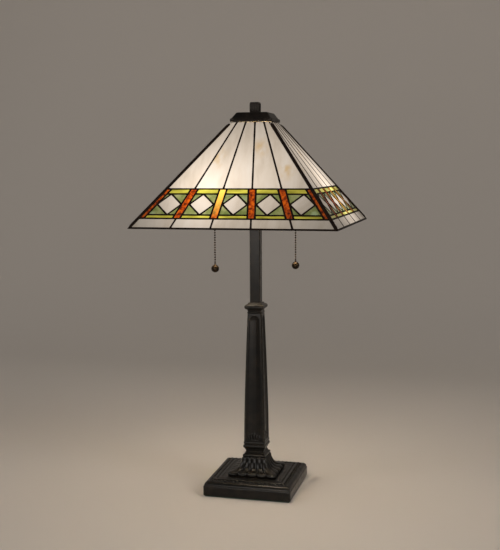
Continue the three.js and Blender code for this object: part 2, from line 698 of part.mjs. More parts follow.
// The bell that the chain's stem slides in: an upright bore, an arm to the socket and a flared lip.
function chainBellGeometry() {
  const top = BELL_MOUTH_LEVEL + BELL_LENGTH;
  const bell = turned([
    [0, BELL_MOUTH_LEVEL],
    [BELL_LIP_RADIUS, BELL_MOUTH_LEVEL],
    [BELL_RADIUS, BELL_MOUTH_LEVEL + BELL_LIP_HEIGHT],
    [BELL_RADIUS, top - BELL_CROWN_CHAMFER],
    [BELL_RADIUS - BELL_CROWN_CHAMFER, top],
    [0, top],
  ]);
  bell.translate(CHAIN_REACH, 0, 0);
  const outward = CHAIN_REACH - SOCKET_FOOT_RADIUS;
  const upward = BELL_MOUTH_LEVEL + BELL_ARM_RISE - SOCKET_FOOT_LEVEL;
  const alongAxis = outward * Math.sin(tilt) + upward * Math.cos(tilt);
  const reach = outward * Math.cos(tilt) - upward * Math.sin(tilt);
  const arm = rod(BELL_ARM_RADIUS, SOCKET_RADIUS + GAP, reach, 10)
    .rotateY(Math.PI / 2)
    .translate(0, 0, alongAxis);
  const bore = rod(STEM_RADIUS + RUNNING_GAP, BELL_MOUTH_LEVEL - PAST, top - BELL_CEILING)
    .translate(CHAIN_REACH, 0, 0);
  return cut(join(bell, alongSocket(arm)), bore);
}

lamp.add(
  named('cluster_body', clusterGeometry().rotateZ(yaw), brass),
  named('cluster_nut', hexNut(CLUSTER_TOP + GAP), brass),
);

// ---- Sockets, bulbs and chains -------------------------------------------------------------------

const STEM_TOP = BELL_MOUTH_LEVEL - STEM_BELOW_BELL + STEM_LENGTH;
const CHAIN_TOP = BELL_MOUTH_LEVEL - STEM_BELOW_BELL - GAP;

// A bead chain hanging from a level, as beads on a wire.
function beadChainGeometry() {
  const facet = CHAIN_BEAD_RADIUS * Math.SQRT1_2;
  const profile = [[0, CHAIN_TOP]];
  for (let bead = 0; bead < CHAIN_BEADS; bead += 1) {
    const centre = CHAIN_TOP - CHAIN_BEAD_RADIUS - bead * CHAIN_BEAD_PITCH;
    profile.push(
      [facet, centre + facet],
      [CHAIN_BEAD_RADIUS, centre],
      [facet, centre - facet],
    );
    if (bead < CHAIN_BEADS - 1) {
      profile.push(
        [CHAIN_WIRE_RADIUS, centre - CHAIN_BEAD_RADIUS],
        [CHAIN_WIRE_RADIUS, centre + CHAIN_BEAD_RADIUS - CHAIN_BEAD_PITCH],
      );
    }
  }
  const bottom = CHAIN_TOP - 2 * CHAIN_BEAD_RADIUS - (CHAIN_BEADS - 1) * CHAIN_BEAD_PITCH;
  profile.push([0, bottom]);
  return { geometry: turned(profile.reverse(), 6), bottom };
}

// A ball under a short collar, its top at a level.
function chainBallGeometry(top) {
  const centre = top - CHAIN_BALL_COLLAR - CHAIN_BALL_RADIUS;
  const profile = [[0, centre - CHAIN_BALL_RADIUS]];
  for (let step = 1; step < CHAIN_BALL_STEPS; step += 1) {
    const angle = Math.PI * (step / CHAIN_BALL_STEPS - 0.5);
    const reach = CHAIN_BALL_RADIUS * Math.cos(angle);
    if (reach >= CHAIN_BALL_COLLAR) profile.push([reach, centre + CHAIN_BALL_RADIUS * Math.sin(angle)]);
  }
  profile.push(
    [CHAIN_BALL_COLLAR, top - CHAIN_BALL_CHAMFER],
    [CHAIN_BALL_COLLAR - CHAIN_BALL_CHAMFER, top],
    [0, top],
  );
  return turned(profile, 12);
}

function addSocket(side, turnRadians) {
  const bulbBottom = SOCKET_CAP_LENGTH + SOCKET_SHELL_LENGTH - BULB_BASE_LENGTH;
  const bulbBaseTop = bulbBottom + BULB_BASE_LENGTH;
  const chain = beadChainGeometry();
  const hanging = [
    ['chain_stem', rod(STEM_RADIUS, BELL_MOUTH_LEVEL - STEM_BELOW_BELL, STEM_TOP, 8), chainMetal],
    ['pull_chain', chain.geometry, chainMetal],
    ['chain_ball', chainBallGeometry(chain.bottom - GAP), chainMetal],
  ];
  const arm = new THREE.Group();
  arm.rotation.z = turnRadians;
  arm.add(
    named(`socket_cap_${side}`, alongSocket(socketCapGeometry()), brass),
    named(`socket_shell_${side}`, alongSocket(socketShellGeometry()), brass),
    named(`chain_bell_${side}`, chainBellGeometry(), brass),
    named(`bulb_base_${side}`, alongSocket(bulbBaseGeometry(bulbBottom)), steel),
    named(`bulb_glass_${side}`, alongSocket(bulbGlassGeometry(bulbBaseTop + GAP)), bulbGlass),
    ...hanging.map(([name, geometry, finish]) =>
      named(`${name}_${side}`, geometry.translate(CHAIN_REACH, 0, 0), finish)),
  );
  lamp.add(arm);
}

addSocket('right', yaw);
addSocket('left', yaw + Math.PI);

// ---- Shade ---------------------------------------------------------------------------------------

const HIP_IN_FACE = Math.cos(SLOPE); // inward travel of the hip line for each millimetre of slant
const HALF_FOLD = Math.acos(Math.cos(SLOPE) ** 2) / 2; // half the angle between two faces' normals
const HIP_SETBACK = GAP + Math.max(
  SEAM_DEPTH * Math.tan(HALF_FOLD),
  HIP_SEAM_RADIUS + HIP_SEAM_DEPTH * Math.sin(HALF_FOLD),
); // of the glass from the hip line

// Half width of a face, measured along the rim, at a slant height.
function faceHalf(slant) {
  return RIM_HALF - slant * HIP_IN_FACE;
}

// Half width of the glass, set back from the hip line.
function glassHalf(slant) {
  return faceHalf(slant) - HIP_SETBACK * Math.hypot(1, HIP_IN_FACE);
}

// Distance of an inner line of the lattice from the middle of the face, at a slant height.
const LINES_AT_RIM = [MIDDLE_PANE_AT_RIM / 2, MIDDLE_PANE_AT_RIM / 2 + INNER_PANE_AT_RIM];
const LINES_AT_CROWN = [MIDDLE_PANE_AT_CROWN / 2, MIDDLE_PANE_AT_CROWN / 2 + INNER_PANE_AT_CROWN];

function lineAt(line, slant) {
  return THREE.MathUtils.lerp(LINES_AT_RIM[line], LINES_AT_CROWN[line], slant / SHADE_SLANT);
}

// A flat plate on a face: corners as [across, slant], from one depth below the face to another.
function facePlate(corners, shallow, deep) {
  const shape = new THREE.Shape(corners.map(([across, slant]) => new THREE.Vector2(across, slant)));
  const plate = new THREE.ExtrudeGeometry(shape, { depth: deep - shallow, bevelEnabled: false });
  return plate.translate(0, 0, -deep);
}

function glassCorners(low, high) {
  return [
    [-glassHalf(low), low],
    [glassHalf(low), low],
    [glassHalf(high), high],
    [-glassHalf(high), high],
  ];
}

function glassSheet(low, high) {
  return facePlate(glassCorners(low, high), SEAM_PROUD, SEAM_PROUD + GLASS_THICKNESS);
}

const RIM_GLASS_SLANT = RIM_BAR_HEIGHT + GAP;
const HALF_SEAM = SEAM_WIDTH / 2;
const GLASS_SPANS = {
  border: [RIM_GLASS_SLANT, BAND_BOTTOM_SLANT - SEAM_GRIP],
  band: [BAND_BOTTOM_SLANT + SEAM_GRIP, BAND_TOP_SLANT - SEAM_GRIP],
  upper: [BAND_TOP_SLANT + SEAM_GRIP, SHADE_SLANT],
};

// The solder lines of one face: two lines across and four from rim to crown, grooved for the glass.
function latticeGeometry() {
  const bars = [BAND_BOTTOM_SLANT, BAND_TOP_SLANT].map((slant) =>
    facePlate(
      [
        [-glassHalf(slant - HALF_SEAM), slant - HALF_SEAM],
        [glassHalf(slant - HALF_SEAM), slant - HALF_SEAM],
        [glassHalf(slant + HALF_SEAM), slant + HALF_SEAM],
        [-glassHalf(slant + HALF_SEAM), slant + HALF_SEAM],
      ],
      0,
      SEAM_DEPTH,
    ));
  const low = RIM_GLASS_SLANT;
  for (const line of [0, 1]) {
    for (const mirror of [-1, 1]) {
      const foot = mirror * lineAt(line, low);
      const head = mirror * lineAt(line, SHADE_SLANT);
      const corners = [
        [foot - HALF_SEAM, low],
        [foot + HALF_SEAM, low],
        [head + HALF_SEAM, SHADE_SLANT],
        [head - HALF_SEAM, SHADE_SLANT],
      ];
      bars.push(facePlate(corners, 0, SEAM_DEPTH));
    }
  }
  const grooves = Object.values(GLASS_SPANS).map(([bottom, top]) => {
    const lowEnd = bottom - GAP;
    const highEnd = top + GAP;
    return facePlate(
      [[-RIM_HALF, lowEnd], [RIM_HALF, lowEnd], [RIM_HALF, highEnd], [-RIM_HALF, highEnd]],
      SEAM_PROUD - GAP / 2,
      SEAM_PROUD + GLASS_THICKNESS + GAP / 2,
    );
  });
  return cut(join(...bars), ...grooves);
}

// A bar along the bottom edge of a face, flat underneath, square to the glass above, with mitred ends.
function rimBarGeometry() {
  const inward = (slant, depth) => slant * Math.cos(SLOPE) + depth * Math.sin(SLOPE) - RIM_HALF;
  const upward = (slant, depth) => slant * Math.sin(SLOPE) - depth * Math.cos(SLOPE) + RIM_LEVEL;
  const section = new THREE.Shape([
    new THREE.Vector2(-RIM_HALF, RIM_LEVEL),
    new THREE.Vector2(inward(RIM_BAR_HEIGHT, SEAM_DEPTH), upward(RIM_BAR_HEIGHT, SEAM_DEPTH)),
    new THREE.Vector2(inward(RIM_BAR_HEIGHT, 0), upward(RIM_BAR_HEIGHT, 0)),
  ]);
  const bar = new THREE.ExtrudeGeometry(section, { depth: 1, bevelEnabled: false });
  const position = bar.attributes.position;
  for (let i = 0; i < position.count; i += 1) {
    const end = position.getZ(i) > 0.5 ? 1 : -1;
    const y = position.getX(i);
    position.setXYZ(i, end * (-y - GAP / 2), y, position.getY(i));
  }
  return bar;
}

// A round seam along the hip between the front face and the face to its right.
function hipSeamGeometry() {
  const start = RIM_BAR_HEIGHT + HIP_SEAM_RADIUS + GAP;
  const inward = new THREE.Vector3(-Math.sin(SLOPE), Math.sin(SLOPE), -2 * Math.cos(SLOPE)).normalize();
  const hipPoint = (slant) => {
    const hip = new THREE.Vector3(faceHalf(slant), -faceHalf(slant), RIM_LEVEL + slant * Math.sin(SLOPE));
    return hip.addScaledVector(inward, HIP_SEAM_DEPTH);
  };
  const path = new THREE.LineCurve3(hipPoint(start), hipPoint(SHADE_SLANT - HIP_SEAM_RADIUS));
  const section = new THREE.Shape().absarc(0, 0, HIP_SEAM_RADIUS, 0, 2 * Math.PI);
  return new THREE.ExtrudeGeometry(section, {
    extrudePath: path,
    steps: 1,
    curveSegments: 5,
    bevelEnabled: false,
  });
}

const faceNames = ['front', 'right', 'back', 'left'];
faceNames.forEach((side, index) => {
  const turn = (index * Math.PI) / 2;
  const corner = new THREE.Group();
  corner.rotation.z = turn;
  const face = new THREE.Group();
  face.position.set(0, -RIM_HALF, RIM_LEVEL);
  face.rotation.x = SLOPE;
  face.add(
    named(`seam_lattice_${side}`, latticeGeometry(), solder),
    named(`upper_glass_${side}`, glassSheet(...GLASS_SPANS.upper), creamGlass),
    named(`band_glass_${side}`, glassSheet(...GLASS_SPANS.band), bandGlass),
    named(`border_glass_${side}`, glassSheet(...GLASS_SPANS.border), creamGlass),
  );
  corner.add(
    face,
    named(`rim_bar_${side}`, rimBarGeometry(), solder),
    named(`hip_seam_${side}`, hipSeamGeometry(), solder),
  );
  lamp.add(corner);
});

// ---- Crown, cap and finial -------------------------------------------------------------------------

// Horizontal distance inside the hip line at which the hip seams and the lattice are both clear.
const HIP_SEAM_REACH = HIP_SEAM_DEPTH + HIP_SEAM_RADIUS + GAP;
const CROWN_RING_INSET = Math.max(
  (SEAM_DEPTH + GAP) / Math.sin(SLOPE),
  HIP_SEAM_REACH * Math.hypot(Math.SQRT1_2, 1 / Math.tan(SLOPE)),
);

// A square ring soldered to the inside of the shade just below the cap.
function crownRingGeometry() {
  const top = CAP_FLANGE_LEVEL - 2 * GAP;
  const bottom = top - CROWN_RING_HEIGHT;
  const halfAt = (level) => RIM_HALF - (level - RIM_LEVEL) / Math.tan(SLOPE) - CROWN_RING_INSET;
  return squareTurned([
    [halfAt(bottom) - CROWN_RING_WALL, bottom],
    [halfAt(bottom), bottom],
    [halfAt(top), top],
    [halfAt(top) - CROWN_RING_WALL, top],
    [halfAt(bottom) - CROWN_RING_WALL, bottom],
  ]);
}

function vaseCapGeometry() {
  const flangeTop = CAP_FLANGE_LEVEL + CAP_FLANGE_HEIGHT;
  const slopeStart = CAP_FLANGE_HALF - CAP_FLANGE_LEDGE;
  const body = squareTurned([
    [0, CAP_FLANGE_LEVEL],
    [CAP_FLANGE_HALF, CAP_FLANGE_LEVEL],
    [CAP_FLANGE_HALF, flangeTop - CAP_FLANGE_CHAMFER],
    [CAP_FLANGE_HALF - CAP_FLANGE_CHAMFER, flangeTop],
    [slopeStart, flangeTop],
    [CAP_TOP_HALF, CAP_TOP_LEVEL],
    [0, CAP_TOP_LEVEL],
  ]);
  const hollow = squareTurned([
    [0, CAP_FLANGE_LEVEL - PAST],
    [CAP_FLANGE_HALF - CAP_WALL, CAP_FLANGE_LEVEL - PAST],
    [slopeStart - CAP_HOLLOW_INSET, flangeTop - PAST],
    [CAP_TOP_HALF - CAP_HOLLOW_INSET, CAP_CEILING],
    [0, CAP_CEILING],
  ]);
  return cut(body, hollow, rod(ROD_RADIUS + RUNNING_GAP, CAP_CEILING - PAST, CAP_TOP_LEVEL + PAST));
}

function finialGeometry() {
  const body = squareTurned([
    [0, FINIAL_BOTTOM],
    ...FINIAL_PROFILE.map(([inset, rise]) => [FINIAL_HALF - inset, FINIAL_BOTTOM + rise]),
    [0, FINIAL_TOP],
  ]);
  const ribPitch = (2 * FINIAL_HALF) / FINIAL_RIBS;
  const ribsBottom = FINIAL_BOTTOM + FINIAL_PLAIN_FOOT;
  const grooves = [];
  for (let side = 0; side < 4; side += 1) {
    for (let rib = 1; rib < FINIAL_RIBS; rib += 1) {
      const groove = cuboid(FINIAL_RIB_GAP / 2, FINIAL_RIB_DEPTH, ribsBottom, FINIAL_TOP + PAST);
      groove.translate(rib * ribPitch - FINIAL_HALF, -FINIAL_HALF, 0);
      grooves.push(groove.rotateZ((side * Math.PI) / 2));
    }
  }
  const boreTop = FINIAL_TOP - RISER_TOP_MARGIN + FINIAL_BORE_END;
  const bore = rod(ROD_RADIUS + RUNNING_GAP, FINIAL_BOTTOM - PAST, boreTop);
  return cut(body, bore, ...grooves);
}

lamp.add(
  named(
    'riser_pipe',
    pipe(ROD_RADIUS, ROD_BORE_RADIUS, CLUSTER_MIDDLE, FINIAL_TOP - RISER_TOP_MARGIN),
    brass,
  ),
  named('seat_nut', hexNut(SEAT_NUT_LEVEL), brass),
  named(
    'seat_washer',
    pipe(SEAT_WASHER_RADIUS, BORE_RADIUS, SEAT_WASHER_LEVEL, SEAT_WASHER_LEVEL + SEAT_WASHER_THICKNESS),
    brass,
  ),
  named('crown_ring', crownRingGeometry(), brass),
  named('vase_cap', vaseCapGeometry(), capMetal),
  named('finial', finialGeometry(), capMetal),
);

export default lamp;
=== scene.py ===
"""Stained glass table lamp: the looks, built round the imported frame. Metres, +Z up."""
import math
import random

import bpy
from mathutils import Matrix, Vector, noise


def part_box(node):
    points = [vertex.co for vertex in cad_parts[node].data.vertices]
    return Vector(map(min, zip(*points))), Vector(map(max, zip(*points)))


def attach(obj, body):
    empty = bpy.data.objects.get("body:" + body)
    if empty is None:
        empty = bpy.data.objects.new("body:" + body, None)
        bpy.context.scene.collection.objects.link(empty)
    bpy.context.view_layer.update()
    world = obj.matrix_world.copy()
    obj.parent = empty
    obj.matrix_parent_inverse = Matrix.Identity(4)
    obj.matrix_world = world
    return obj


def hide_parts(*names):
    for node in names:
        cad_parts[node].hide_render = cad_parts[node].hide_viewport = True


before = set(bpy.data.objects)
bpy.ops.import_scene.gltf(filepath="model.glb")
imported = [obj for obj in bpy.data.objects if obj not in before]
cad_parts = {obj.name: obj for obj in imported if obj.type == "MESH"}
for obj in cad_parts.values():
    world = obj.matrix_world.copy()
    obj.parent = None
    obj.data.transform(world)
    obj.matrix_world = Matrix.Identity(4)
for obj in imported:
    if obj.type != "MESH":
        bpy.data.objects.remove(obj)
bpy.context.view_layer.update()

MM = 0.001
FACES = ("front", "right", "back", "left")
SIDES = ("right", "left")

# ---- Places that come from the frame ----------------------------------------------------------

SLOPE = math.radians(51.8)  # of the shade's faces, from level
CROWN_HALF = 34.5  # of the shade at the cap, in mm
RIM_HALF = -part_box("rim_bar_front")[0].y / MM
CROWN_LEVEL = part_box("seam_lattice_front")[1].z / MM
RIM_LEVEL = CROWN_LEVEL - (RIM_HALF - CROWN_HALF) * math.tan(SLOPE)
SLANT = (RIM_HALF - CROWN_HALF) / math.cos(SLOPE)  # from rim to cap

# ---- The pattern of one face, in mm across from its middle line and mm up its slant ------------

GLASS_DEPTH = 0.8  # of the glass below the crests of the solder
GLASS_THICKNESS = 3.0
MIDDLE_LINE_FOOT, MIDDLE_LINE_HEAD = 32.4, 7.8  # distance from the middle, at rim and cap
OUTER_LINE_FOOT, OUTER_LINE_HEAD = 98.0, 22.6
BORDER_LOW = 3.0  # under the rim bar's lip
BORDER_TOP = 21.0
LOWER_STRIP_TOP = 28.0
UPPER_STRIP_BOTTOM = 68.6
BAND_TOP = 78.4
AMBER_HALF = 6.0  # half width of an amber strip
HIP_STRIP = 10.5  # width of the amber strip along a hip, from the hip line
DIAMOND_HALF = 20.0
HIP_SETBACK = 3.5 * math.hypot(1, math.cos(SLOPE))  # of the glass from the hip line
SEAM_HALF = 1.6
PANE_INSET = 0.35


def face_half(slant):
    """Half width of a face at a slant height."""
    return RIM_HALF - slant * math.cos(SLOPE)


def glass_half(slant):
    return face_half(slant) - HIP_SETBACK


def line_x(line, slant):
    """Place across of inner line 0 to 3, counted from the left."""
    foot = (OUTER_LINE_FOOT, MIDDLE_LINE_FOOT)[min(line, 3 - line)]
    head = (OUTER_LINE_HEAD, MIDDLE_LINE_HEAD)[min(line, 3 - line)]
    side = -1 if line < 2 else 1
    return side * (foot + (head - foot) * slant / SLANT)


def cell_edges(cell, slant, amber):
    """Left and right ends of column 0 to 4 at a slant height, clear of the strips in amber."""
    left = -glass_half(slant) if cell == 0 else line_x(cell - 1, slant)
    right = glass_half(slant) if cell == 4 else line_x(cell, slant)
    if amber:
        left = -face_half(slant) + HIP_STRIP if cell == 0 else left + AMBER_HALF
        right = face_half(slant) - HIP_STRIP if cell == 4 else right - AMBER_HALF
    return left, right


def cell_quad(cell, low, high, amber=False):
    low_left, low_right = cell_edges(cell, low, amber)
    high_left, high_right = cell_edges(cell, high, amber)
    return [(low_left, low), (low_right, low), (high_right, high), (high_left, high)]


def amber_quads():
    low, high = BORDER_TOP, BAND_TOP
    quads = []
    for line in range(4):
        quads.append([
            (line_x(line, low) - AMBER_HALF, low), (line_x(line, low) + AMBER_HALF, low),
            (line_x(line, high) + AMBER_HALF, high), (line_x(line, high) - AMBER_HALF, high),
        ])
    for side in (-1, 1):
        outline = [
            (side * (face_half(low) - HIP_STRIP), low), (side * glass_half(low), low),
            (side * glass_half(high), high), (side * (face_half(high) - HIP_STRIP), high),
        ]
        quads.append(outline if side > 0 else outline[::-1])
    return quads


def diamond(cell):
    """The four tips of a column's diamond: bottom, right, top, left."""
    middle = (LOWER_STRIP_TOP + UPPER_STRIP_BOTTOM) / 2
    centre = sum(cell_edges(cell, middle, True)) / 2
    return [(centre, LOWER_STRIP_TOP), (centre + DIAMOND_HALF, middle),
            (centre, UPPER_STRIP_BOTTOM), (centre - DIAMOND_HALF, middle)]


def corner_triangles(cell):
    bottom, right, top, left = diamond(cell)
    low_left, low_right, high_right, high_left = cell_quad(
        cell, LOWER_STRIP_TOP, UPPER_STRIP_BOTTOM, True)
    return [
        [low_left, bottom, left], [bottom, low_right, right],
        [right, high_right, top], [left, top, high_left],
    ]


def seam_lines():
    """Every solder line of one face as (start, end)."""
    lines = []
    for level in (BORDER_TOP, BAND_TOP):
        lines.append(((-glass_half(level), level), (glass_half(level), level)))
    for line in range(4):
        lines.append(((line_x(line, BORDER_LOW), BORDER_LOW), (line_x(line, BORDER_TOP), BORDER_TOP)))
        lines.append(((line_x(line, BAND_TOP), BAND_TOP), (line_x(line, SLANT), SLANT)))
        for side in (-1, 1):
            lines.append((
                (line_x(line, BORDER_TOP) + side * AMBER_HALF, BORDER_TOP),
                (line_x(line, BAND_TOP) + side * AMBER_HALF, BAND_TOP)))
    for side in (-1, 1):
        lines.append((
            (side * (face_half(BORDER_TOP) - HIP_STRIP), BORDER_TOP),
            (side * (face_half(BAND_TOP) - HIP_STRIP), BAND_TOP)))
    for cell in range(5):
        for level in (LOWER_STRIP_TOP, UPPER_STRIP_BOTTOM):
            left, right = cell_edges(cell, level, True)
            lines.append(((left, level), (right, level)))
        tips = diamond(cell)
        for tip in range(4):
            lines.append((tips[tip], tips[(tip + 1) % 4]))
    return lines


def face_matrix(face):
    """From (across, slant, outward) in mm on a face to metres in the lamp."""
    across = Vector((1, 0, 0))
    up = Vector((0, math.cos(SLOPE), math.sin(SLOPE)))
    out = Vector((0, -math.sin(SLOPE), math.cos(SLOPE)))
    place = Matrix((across, up, out)).transposed().to_4x4()
    place.translation = Vector((0, -RIM_HALF, RIM_LEVEL))
    turn = Matrix.Rotation(face * math.pi / 2, 4, "Z")
    return Matrix.Scale(MM, 4) @ turn @ place


# ---- Mesh helpers ------------------------------------------------------------------------------


class Shape:
    """Collects closed solids into one mesh."""

    def __init__(self):
        self.points = []
        self.faces = []
        self.sheet = []
        self.pale = []

    def add(self, points, faces, sheet=None, pale=None):
        """Adds a solid; sheet is each point's place on its sheet of glass, pale how far its light is
        bleached pale, by paler glass and, on one front amber strip, by painted glare.
        """
        first = len(self.points)
        self.points.extend(points)
        self.faces.extend([tuple(first + i for i in face) for face in faces])
        self.sheet.extend(sheet or [(0, 0, 0)] * len(points))
        self.pale.extend(pale or [0.0] * len(points))

    def loft(self, rings):
        """Joins rings of points that run anticlockwise seen from the last ring."""
        count = len(rings[0])
        points = [point for ring in rings for point in ring]
        faces = []
        for row in range(len(rings) - 1):
            below, above = row * count, (row + 1) * count
            for i in range(count):
                j = (i + 1) % count
                faces.append((below + i, below + j, above + j, above + i))
        faces.append(tuple(reversed(range(count))))
        faces.append(tuple(range(len(points) - count, len(points))))
        self.add(points, faces)

    def piece(self, name, material, body, replaces=(), slot=None, matrix=None, smooth=40, glow=None):
        """Makes the object; glass also keeps its sheet, its outward direction at rest and its glow.

        glow is (share of the bulbs' spread light, share of their bright spots) that it passes.
        """
        mesh = bpy.data.meshes.new(name)
        points = [matrix @ Vector(p) if matrix else Vector(p) for p in self.points]
        mesh.from_pydata(points, [], self.faces)
        if any(any(value) for value in self.sheet):
            layer = mesh.attributes.new("sheet", "FLOAT_VECTOR", "POINT")
            layer.data.foreach_set("vector", [c for value in self.sheet for c in value])
            outward = (matrix.to_3x3() @ Vector((0, 0, 1))).normalized()
            layer = mesh.attributes.new("outward", "FLOAT_VECTOR", "POINT")
            layer.data.foreach_set("vector", list(outward) * len(self.points))
            layer = mesh.attributes.new("glow", "FLOAT_VECTOR", "POINT")
            layer.data.foreach_set("vector", [c for pale in self.pale for c in (*glow, pale)])
        mesh.update()
        mesh.shade_smooth()
        mesh.set_sharp_from_angle(angle=math.radians(smooth))
        mesh.materials.append(material)
        thing = bpy.data.objects.new(name, mesh)
        bpy.context.scene.collection.objects.link(thing)
        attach(thing, body)
        if replaces:
            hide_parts(*replaces)


def square_ring(half, level, corner=0.8, side_steps=1, inset=None):
    """A square outline with flat chamfers, anticlockwise from above; inset(share, side) sinks it.

    corner is the width that a chamfer takes off each side.
    """
    points = []
    flat = half - corner
    for side in range(4):
        turn = Matrix.Rotation(side * math.pi / 2, 3, "Z")
        for step in range(side_steps + 1):
            share = -1 + 2 * step / side_steps
            sink = inset(share, side) if inset else 0
            points.append(turn @ Vector((share * flat, -half + sink, level)))
    return points


def round_ring(radius, level, centre=(0, 0), segments=32):
    return [
        Vector((centre[0] + radius * math.cos(2 * math.pi * i / segments),
                centre[1] + radius * math.sin(2 * math.pi * i / segments), level))
        for i in range(segments)
    ]


AXIS_RADIUS = 0.02  # least radius of a ring at a pole


def turned(shape, profile, centre=(0, 0), segments=32):
    """A solid of revolution from (radius, level) points, bottom to top."""
    shape.loft([round_ring(max(radius, AXIS_RADIUS), level, centre, segments)
                for radius, level in profile])


def arc(centre, radius, start, end, steps):
    """Points of a circular arc, with angles in degrees."""
    return [
        (centre[0] + radius * math.cos(math.radians(start + (end - start) * i / steps)),
         centre[1] + radius * math.sin(math.radians(start + (end - start) * i / steps)))
        for i in range(steps + 1)
    ]


def centre_of(node):
    low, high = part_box(node)
    return (low.x + high.x) / 2 / MM, (low.y + high.y) / 2 / MM


def levels_of(node):
    low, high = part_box(node)
    return low.z / MM, high.z / MM


METRES = Matrix.Scale(MM, 4)

# ---- Materials -----------------------------------------------------------------------------------


class Shader:
    """A material's node tree, with its principled surface."""

    def __init__(self, name):
        self.material = bpy.data.materials.new(name)
        self.material.use_nodes = True
        self.nodes = self.material.node_tree.nodes
        self.links = self.material.node_tree.links
        self.surface = self.nodes["Principled BSDF"]

    def add(self, kind, settings=None, **inputs):
        node = self.nodes.new("ShaderNode" + kind)
        for key, value in (settings or {}).items():
            setattr(node, key, value)
        for key, value in inputs.items():
            self.feed(node, key.replace("_", " "), value)
        return node

    def feed(self, node, key, value):
        socket = node.inputs[int(key) if key.isdigit() else key]
        if isinstance(value, bpy.types.NodeSocket):
            self.links.new(value, socket)
        else:
            socket.default_value = value

    def set(self, **inputs):
        for key, value in inputs.items():
            self.feed(self.surface, key.replace("_", " "), value)

    def math(self, operation, first, second=0.0, clamp=False):
        node = self.add("Math", {"operation": operation, "use_clamp": clamp})
        self.feed(node, "0", first)
        self.feed(node, "1", second)
        return node.outputs[0]

    def vector(self, operation, first, second=(0, 0, 0), output=0):
        node = self.add("VectorMath", {"operation": operation})
        self.feed(node, "0", first)
        self.feed(node, "1", second)
        return node.outputs[output]

    def noise(self, scale, coordinates, detail=4.0, roughness=0.55):
        return self.add("TexNoise", None, Vector=coordinates, Scale=scale, Detail=detail,
                        Roughness=roughness).outputs["Fac"]

    def ramp(self, value, stops, colour=True):
        node = self.add("ValToRGB", None, Fac=value)
        elements = node.color_ramp.elements
        while len(elements) < len(stops):
            elements.new(0.5)
        for element, (place, tone) in zip(elements, stops):
            element.position = place
            element.color = (*tone, 1) if colour else (tone, tone, tone, 1)
        return node.outputs["Color"]

    def mix(self, share, first, second):
        node = self.add("Mix", {"data_type": "RGBA"})
        for key, value in (("Factor", share), ("A", first), ("B", second)):
            socket = [s for s in node.inputs if s.name == key and s.enabled][0]
            if isinstance(value, bpy.types.NodeSocket):
                self.links.new(value, socket)
            elif key == "Factor":
                socket.default_value = value
            else:
                socket.default_value = (*value, 1)
        return [s for s in node.outputs if s.enabled][0]

    def bump(self, height, strength, distance):
        node = self.add("Bump", None, Height=height, Strength=strength, Distance=distance)
        self.set(Normal=node.outputs["Normal"])

    def place(self):
        return self.add("TexCoord").outputs["Object"]

    def sheet(self):
        return self.add("Attribute", {"attribute_name": "sheet"}).outputs["Vector"]


def cast_metal(name, dark, brown, worn, metallic, rough, lacquer):
    """Patinated cast metal: cloudy brown over black, rubbed edges, a fine cast skin and lacquer."""
    shader = Shader(name)
    place = shader.place()
    clouds = shader.noise(55, place, 5)
    tone = shader.ramp(clouds, [(0.40, dark), (0.66, brown)])
    edges = shader.add("NewGeometry").outputs["Pointiness"]
    rubbed = shader.ramp(edges, [(0.52, 0), (0.64, 1)], colour=False)
    speckle = shader.ramp(shader.noise(420, place, 2), [(0.42, 0.05), (0.68, 1)], colour=False)
    share = shader.math("MULTIPLY", rubbed, speckle)
    shader.set(
        Base_Color=shader.mix(share, tone, worn),
        Metallic=metallic,
        Roughness=shader.ramp(shader.noise(130, place), [(0.3, rough - 0.07), (0.7, rough + 0.12)], False),
        Specular_IOR_Level=0.1,
        Coat_Weight=lacquer,
        Coat_Roughness=0.17,
    )
    grain = shader.math("ADD", shader.noise(900, place, 3), shader.noise(170, place, 2))
    shader.bump(grain, 0.12, 0.00025)
    return shader.material


def plain_metal(name, tone, second, rough, scale=160):
    shader = Shader(name)
    place = shader.place()
    spots = shader.noise(scale, place, 4)
    shader.set(
        Base_Color=shader.ramp(spots, [(0.35, tone), (0.7, second)]),
        Metallic=1.0,
        Roughness=shader.ramp(shader.noise(scale * 2, place), [(0.3, rough - 0.06), (0.7, rough + 0.1)],
                              False),
    )
    shader.bump(shader.noise(900, place, 2), 0.15, 0.0002)
    return shader.material


def solder_patina():
    """Lumpy solder with a brown-black patina."""
    shader = Shader("solder_patina")
    place = shader.place()
    shader.set(
        Base_Color=shader.ramp(shader.noise(220, place, 4),
                               [(0.35, (0.008, 0.006, 0.005)), (0.7, (0.024, 0.014, 0.009))]),
        Metallic=0.15,
        Roughness=shader.ramp(shader.noise(300, place), [(0.3, 0.42), (0.7, 0.6)], False),
        Specular_IOR_Level=0.06,
    )
    lumps = shader.math("ADD", shader.noise(260, place, 2), shader.noise(90, place, 1))
    shader.bump(lumps, 0.5, 0.0006)
    return shader.material


DIFFUSE_POWER = 0.0060  # light that a bulb spreads over the glass, in scene units times square metres
SPOT_POWER = 0.90  # of the bright spot where a bulb stands close behind the glass
SPOT_RADIUS = 0.038
SPOT_DISTANCE = 0.07
NEAREST = 0.02  # from a bulb to the glass
CORE_DROP = Vector((0, 0, 0.060))  # from the middle of a bulb's glass down to its light
AMBIENT_GLOW = 0.012  # of light that reaches every pane


